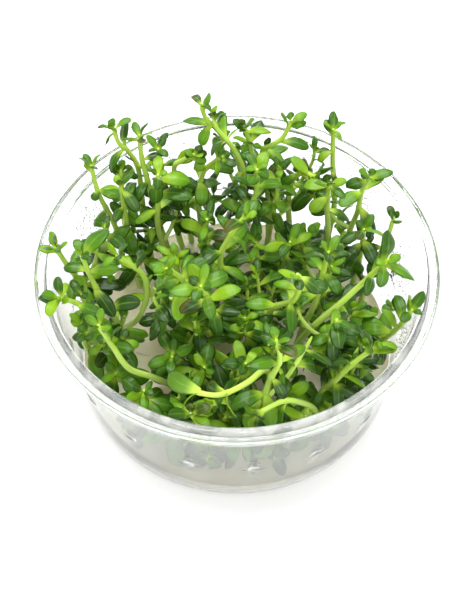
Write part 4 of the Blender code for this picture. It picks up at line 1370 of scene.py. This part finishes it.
def shoot_guide(name, stem, branches, leaves, draw):
    """The guide of one shoot: the lines of its stem, side branches and roots on the gel, and a
    point for each leaf."""
    points, edges, rows = [], [], []
    blank = {"leafy": 0.0, "thick": 0.0, "age": 0.0, "tone": 0.5}

    def add_line(places, thicks, ages, tone):
        start = len(points)
        points.extend(places)
        edges.extend((start + i, start + i + 1) for i in range(len(places) - 1))
        for thick, age in zip(thicks, ages):
            rows.append({**blank, "thick": thick, "age": age, "tone": tone})

    for line in [stem] + branches:
        nodes = line.nodes()
        count = int(line.length / FINE_STEM_STEP)
        distances = [line.length * i / count for i in range(count + 1)]
        places = [line.frame(d)[0] for d in distances]
        thicks = [line.thickness(d, nodes) for d in distances]
        thicks[-1] *= 0.55
        ages = [1.0 - d / line.length for d in distances]
        if line is stem:
            foot = places[0]
            places.insert(0, foot - Vector((0, 0, STEM_SUNK)))
            thicks.insert(0, thicks[0] * 1.2)
            ages.insert(0, 1.0)
        add_line(places, thicks, ages, draw.random())
    for _ in range(draw.randint(2, 4)):
        heading = draw.uniform(0, math.tau)
        spot = foot + Vector((0, 0, 0.2 * MM))
        route, widths = [spot], [0.22 * MM]
        for step in range(1, draw.randint(5, 9)):
            heading += draw.uniform(-0.5, 0.5)
            spot = spot + Vector((math.cos(heading), math.sin(heading), 0.0)) * 0.9 * MM
            height = GEL_TOP + 0.10 * MM - 0.05 * MM * step
            if math.hypot(spot.x, spot.y) > inner_radius(GEL_TOP) - 1.5 * MM:
                break
            route.append(Vector((spot.x, spot.y, height)))
            widths.append(0.20 * MM - 0.012 * MM * step)
        if len(route) > 2:
            add_line(route, widths, [ROOT_AGE] * len(route), 0.5)

    for leaf in leaves:
        points.append(leaf.place)
        rows.append({
            "leafy": 1.0, "thick": 0.0, "age": leaf.age, "tone": draw.random(),
            "length": leaf.length, "width": leaf.width, "lift": leaf.lift, "droop": leaf.droop,
            "fold": draw.uniform(0.0, 0.26), "roll_edge": draw.uniform(0.05, 0.50),
            "ruffle": draw.uniform(0.0, 0.20) * MM, "twist": math.radians(draw.uniform(-50, 50)),
            "start": leaf.place, "out": leaf.out, "up": leaf.along, "across": leaf.across,
        })
    names = list(rows[-1])
    empty = {key: Vector() if isinstance(value, Vector) else 0.0 for key, value in rows[-1].items()}
    columns = {key: [row.get(key, empty[key]) for row in rows] for key in names}
    return guide_mesh(name, points, edges, columns)


def make_shoots():
    stems, thicket = grow(SHOOTS)
    added, branches = fill_in(stems, thicket)
    draw = random.Random(SEED + 1)
    grower = shoot_grower(plant_finish())
    for name, (stem, _, _, leaves) in stems.items():
        every = list(leaves.values()) + added[name]
        guide = shoot_guide(name, stem, branches[name], every, draw)
        mesh = run_tree("rotala_" + name, guide, grower, {})
        # Nothing stands above the box of the solids: one leaf's end is cut level with its top
        for vert in mesh.vertices:
            vert.co.z = min(vert.co.z, cad_high.z)
        add_piece("rotala_" + name, mesh, name)
    return stems


def make_gel(stems):
    """The gel: level with slight waves, and drawn up a little round each stem."""
    feet = [stem.points[0] for stem, _, _, _ in stems.values()]
    bottom = WALL + GAP
    side = fillet(BASE_RADIUS - WALL - GAP, bottom, FOOT_FILLET - WALL, 6)
    edge = inner_radius(GEL_TOP + GEL_CREEP) - GAP
    creep = [(edge, GEL_TOP + GEL_CREEP), (edge - 0.4 * MM, GEL_TOP + 0.35 * MM)]
    flat = edge - GEL_CREEP_WIDTH
    top = [(flat * (1 - i / GEL_RINGS), GEL_TOP) for i in range(GEL_RINGS + 1)]
    bm = turned([(0.0, bottom)] + side + creep + top, GEL_SIDES)
    for vert in bm.verts:
        if vert.co.z < GEL_TOP - 0.01 * MM:
            continue
        reach = math.hypot(vert.co.x, vert.co.y)
        away_from_edge = 1.0 if reach < edge - GEL_STILL_EDGE else 0.0
        wave = math.sin(vert.co.x * 310) * math.cos(vert.co.y * 270 + 1.3) * GEL_WAVE * MM
        away = [(vert.co.xy - foot.xy).length / GEL_DRAWN_REACH for foot in feet]
        pulled = sum(math.exp(-distance ** 2) for distance in away)
        vert.co.z += away_from_edge * (wave + GEL_DRAWN_UP * min(pulled, 1.0))
    add_piece("nutrient_gel", mesh_of("nutrient_gel", bm, gel_finish(), 50), "gel")


# Where breath has gathered in drops on the inner wall: angle round the cup, height in
# millimetres, and how far it reaches each way
DROP_PATCHES = [
    (151, 33, 8, 9), (114, 39, 5, 3), (62, 38, 7, 3), (47, 39, 4, 3), (37, 36, 5, 6),
    (171, 21, 5, 4), (12, 28, 8, 7), (350, 24, 7, 7),
]


def make_drops():
    """Small drops of water on the inner wall, in patches."""
    tree, given = geometry_tree(
        "wall_drops",
        {
            "Density": ("Float", 1.6e6),
            "Closest": ("Float", 0.55 * MM),
            "Smallest": ("Float", 0.10 * MM),
            "Largest": ("Float", 0.30 * MM),
            "Seed": ("Int", 5),
        },
    )
    wet = tree.node("GeometryNodeInputNamedAttribute", {"data_type": "FLOAT"}, {"Name": "wet"})
    spread = tree.node(
        "GeometryNodeDistributePointsOnFaces",
        {"distribute_method": "POISSON"},
        {
            "Mesh": given["Geometry"], "Distance Min": given["Closest"],
            "Density Max": given["Density"], "Density Factor": wet, "Seed": given["Seed"],
        },
    )
    turn = Socket(tree, spread.socket.node.outputs["Rotation"])
    size = tree.node(
        "FunctionNodeRandomValue",
        {"data_type": "FLOAT"},
        {2: given["Smallest"], 3: given["Largest"], "Seed": given["Seed"]},
        out=1,
    )
    drop = tree.node("GeometryNodeMeshIcoSphere", {}, {"Radius": 1.0, "Subdivisions": 2})
    scale = tree.node("ShaderNodeCombineXYZ", {}, {0: size, 1: size, 2: size * 0.6})
    sockets = {"Points": spread, "Instance": drop, "Rotation": turn, "Scale": scale}
    drops = tree.node("GeometryNodeInstanceOnPoints", {}, sockets)
    finish_tree(tree, drops, water_finish())

    bm = bmesh.new()
    columns, rows = 120, 16
    low, high = GEL_TOP + 3.0 * MM, WALL_TOP - 1.0 * MM
    grid, wetness = [], []
    for r in range(rows + 1):
        z = low + (high - low) * r / rows
        for c in range(columns):
            angle = math.tau * c / columns
            radius = inner_radius(z) - 0.02 * MM
            grid.append(bm.verts.new((radius * math.cos(angle), radius * math.sin(angle), z)))
            nearness = []
            for middle, height, wide, tall in DROP_PATCHES:
                aside = (math.degrees(angle) - middle + 180) % 360 - 180
                nearness.append(math.exp(-(aside / wide) ** 2 - ((z / MM - height) / tall) ** 2))
            wetness.append(max(nearness))
    for r in range(rows):
        for c in range(columns):
            n = (c + 1) % columns
            here, above = r * columns, (r + 1) * columns
            bm.faces.new((grid[here + c], grid[above + c], grid[above + n], grid[here + n]))
    guide = bpy.data.meshes.new("wall_drops")
    bm.to_mesh(guide)
    bm.free()
    guide.attributes.new("wet", "FLOAT", "POINT").data.foreach_set("value", wetness)
    add_piece("wall_drops", run_tree("wall_drops", guide, tree.inside, {}), None)


def add_area_light(name, place, target, size, power):
    light = bpy.data.lights.new(name, "AREA")
    light.shape = "RECTANGLE"
    light.size, light.size_y = size
    light.energy = power
    thing = bpy.data.objects.new(name, light)
    thing.location = place
    thing.rotation_euler = (Vector(target) - Vector(place)).to_track_quat("-Z", "Y").to_euler()
    bpy.context.scene.collection.objects.link(thing)


def make_stage():
    """The pale floor, the soft light and the camera."""
    bm = bmesh.new()
    bmesh.ops.create_grid(bm, x_segments=8, y_segments=8, size=3.0)
    floor = bpy.data.objects.new("floor", mesh_of("floor", bm, floor_finish()))
    floor.location.z = -0.05 * MM
    bpy.context.scene.collection.objects.link(floor)
    add_area_light("key_light", (-0.04, 0.24, 0.78), (0, 0, 0.03), (0.7, 0.7), 10.0)
    add_area_light("fill_light", (0.22, -0.55, 0.52), (0, 0, 0.03), (0.7, 0.7), 4.5)
    world = bpy.data.worlds.new("studio")
    world.use_nodes = True
    tree = Tree(world.node_tree)
    place = tree.node("ShaderNodeTexCoord", out="Generated")
    height = tree.node("ShaderNodeSeparateXYZ", {}, {0: place}, out=2)
    sky = tree.mixed((0.30, 0.34, 0.36), (1.0, 1.0, 0.98), tree.ramp_up(height, 0.08, 0.45))
    back = tree.node("ShaderNodeBackground", {}, {"Color": sky, "Strength": 0.66})
    tree.node("ShaderNodeOutputWorld", {}, {"Surface": back})
    bpy.context.scene.world = world
    bpy.context.scene.view_settings.view_transform = "Standard"

    data = bpy.data.cameras.new("photo_view")
    data.lens = CAMERA_LENS
    data.sensor_width = CAMERA_SENSOR
    data.clip_start = 0.01
    camera = bpy.data.objects.new("photo_view", data)
    camera.location = CAMERA_PLACE
    camera.rotation_euler = (math.radians(90 - CAMERA_DOWN), 0.0, 0.0)
    bpy.context.scene.collection.objects.link(camera)
    bpy.context.scene.camera = camera


make_stage()
make_cup()
grown = make_shoots()
make_gel(grown)
make_drops()
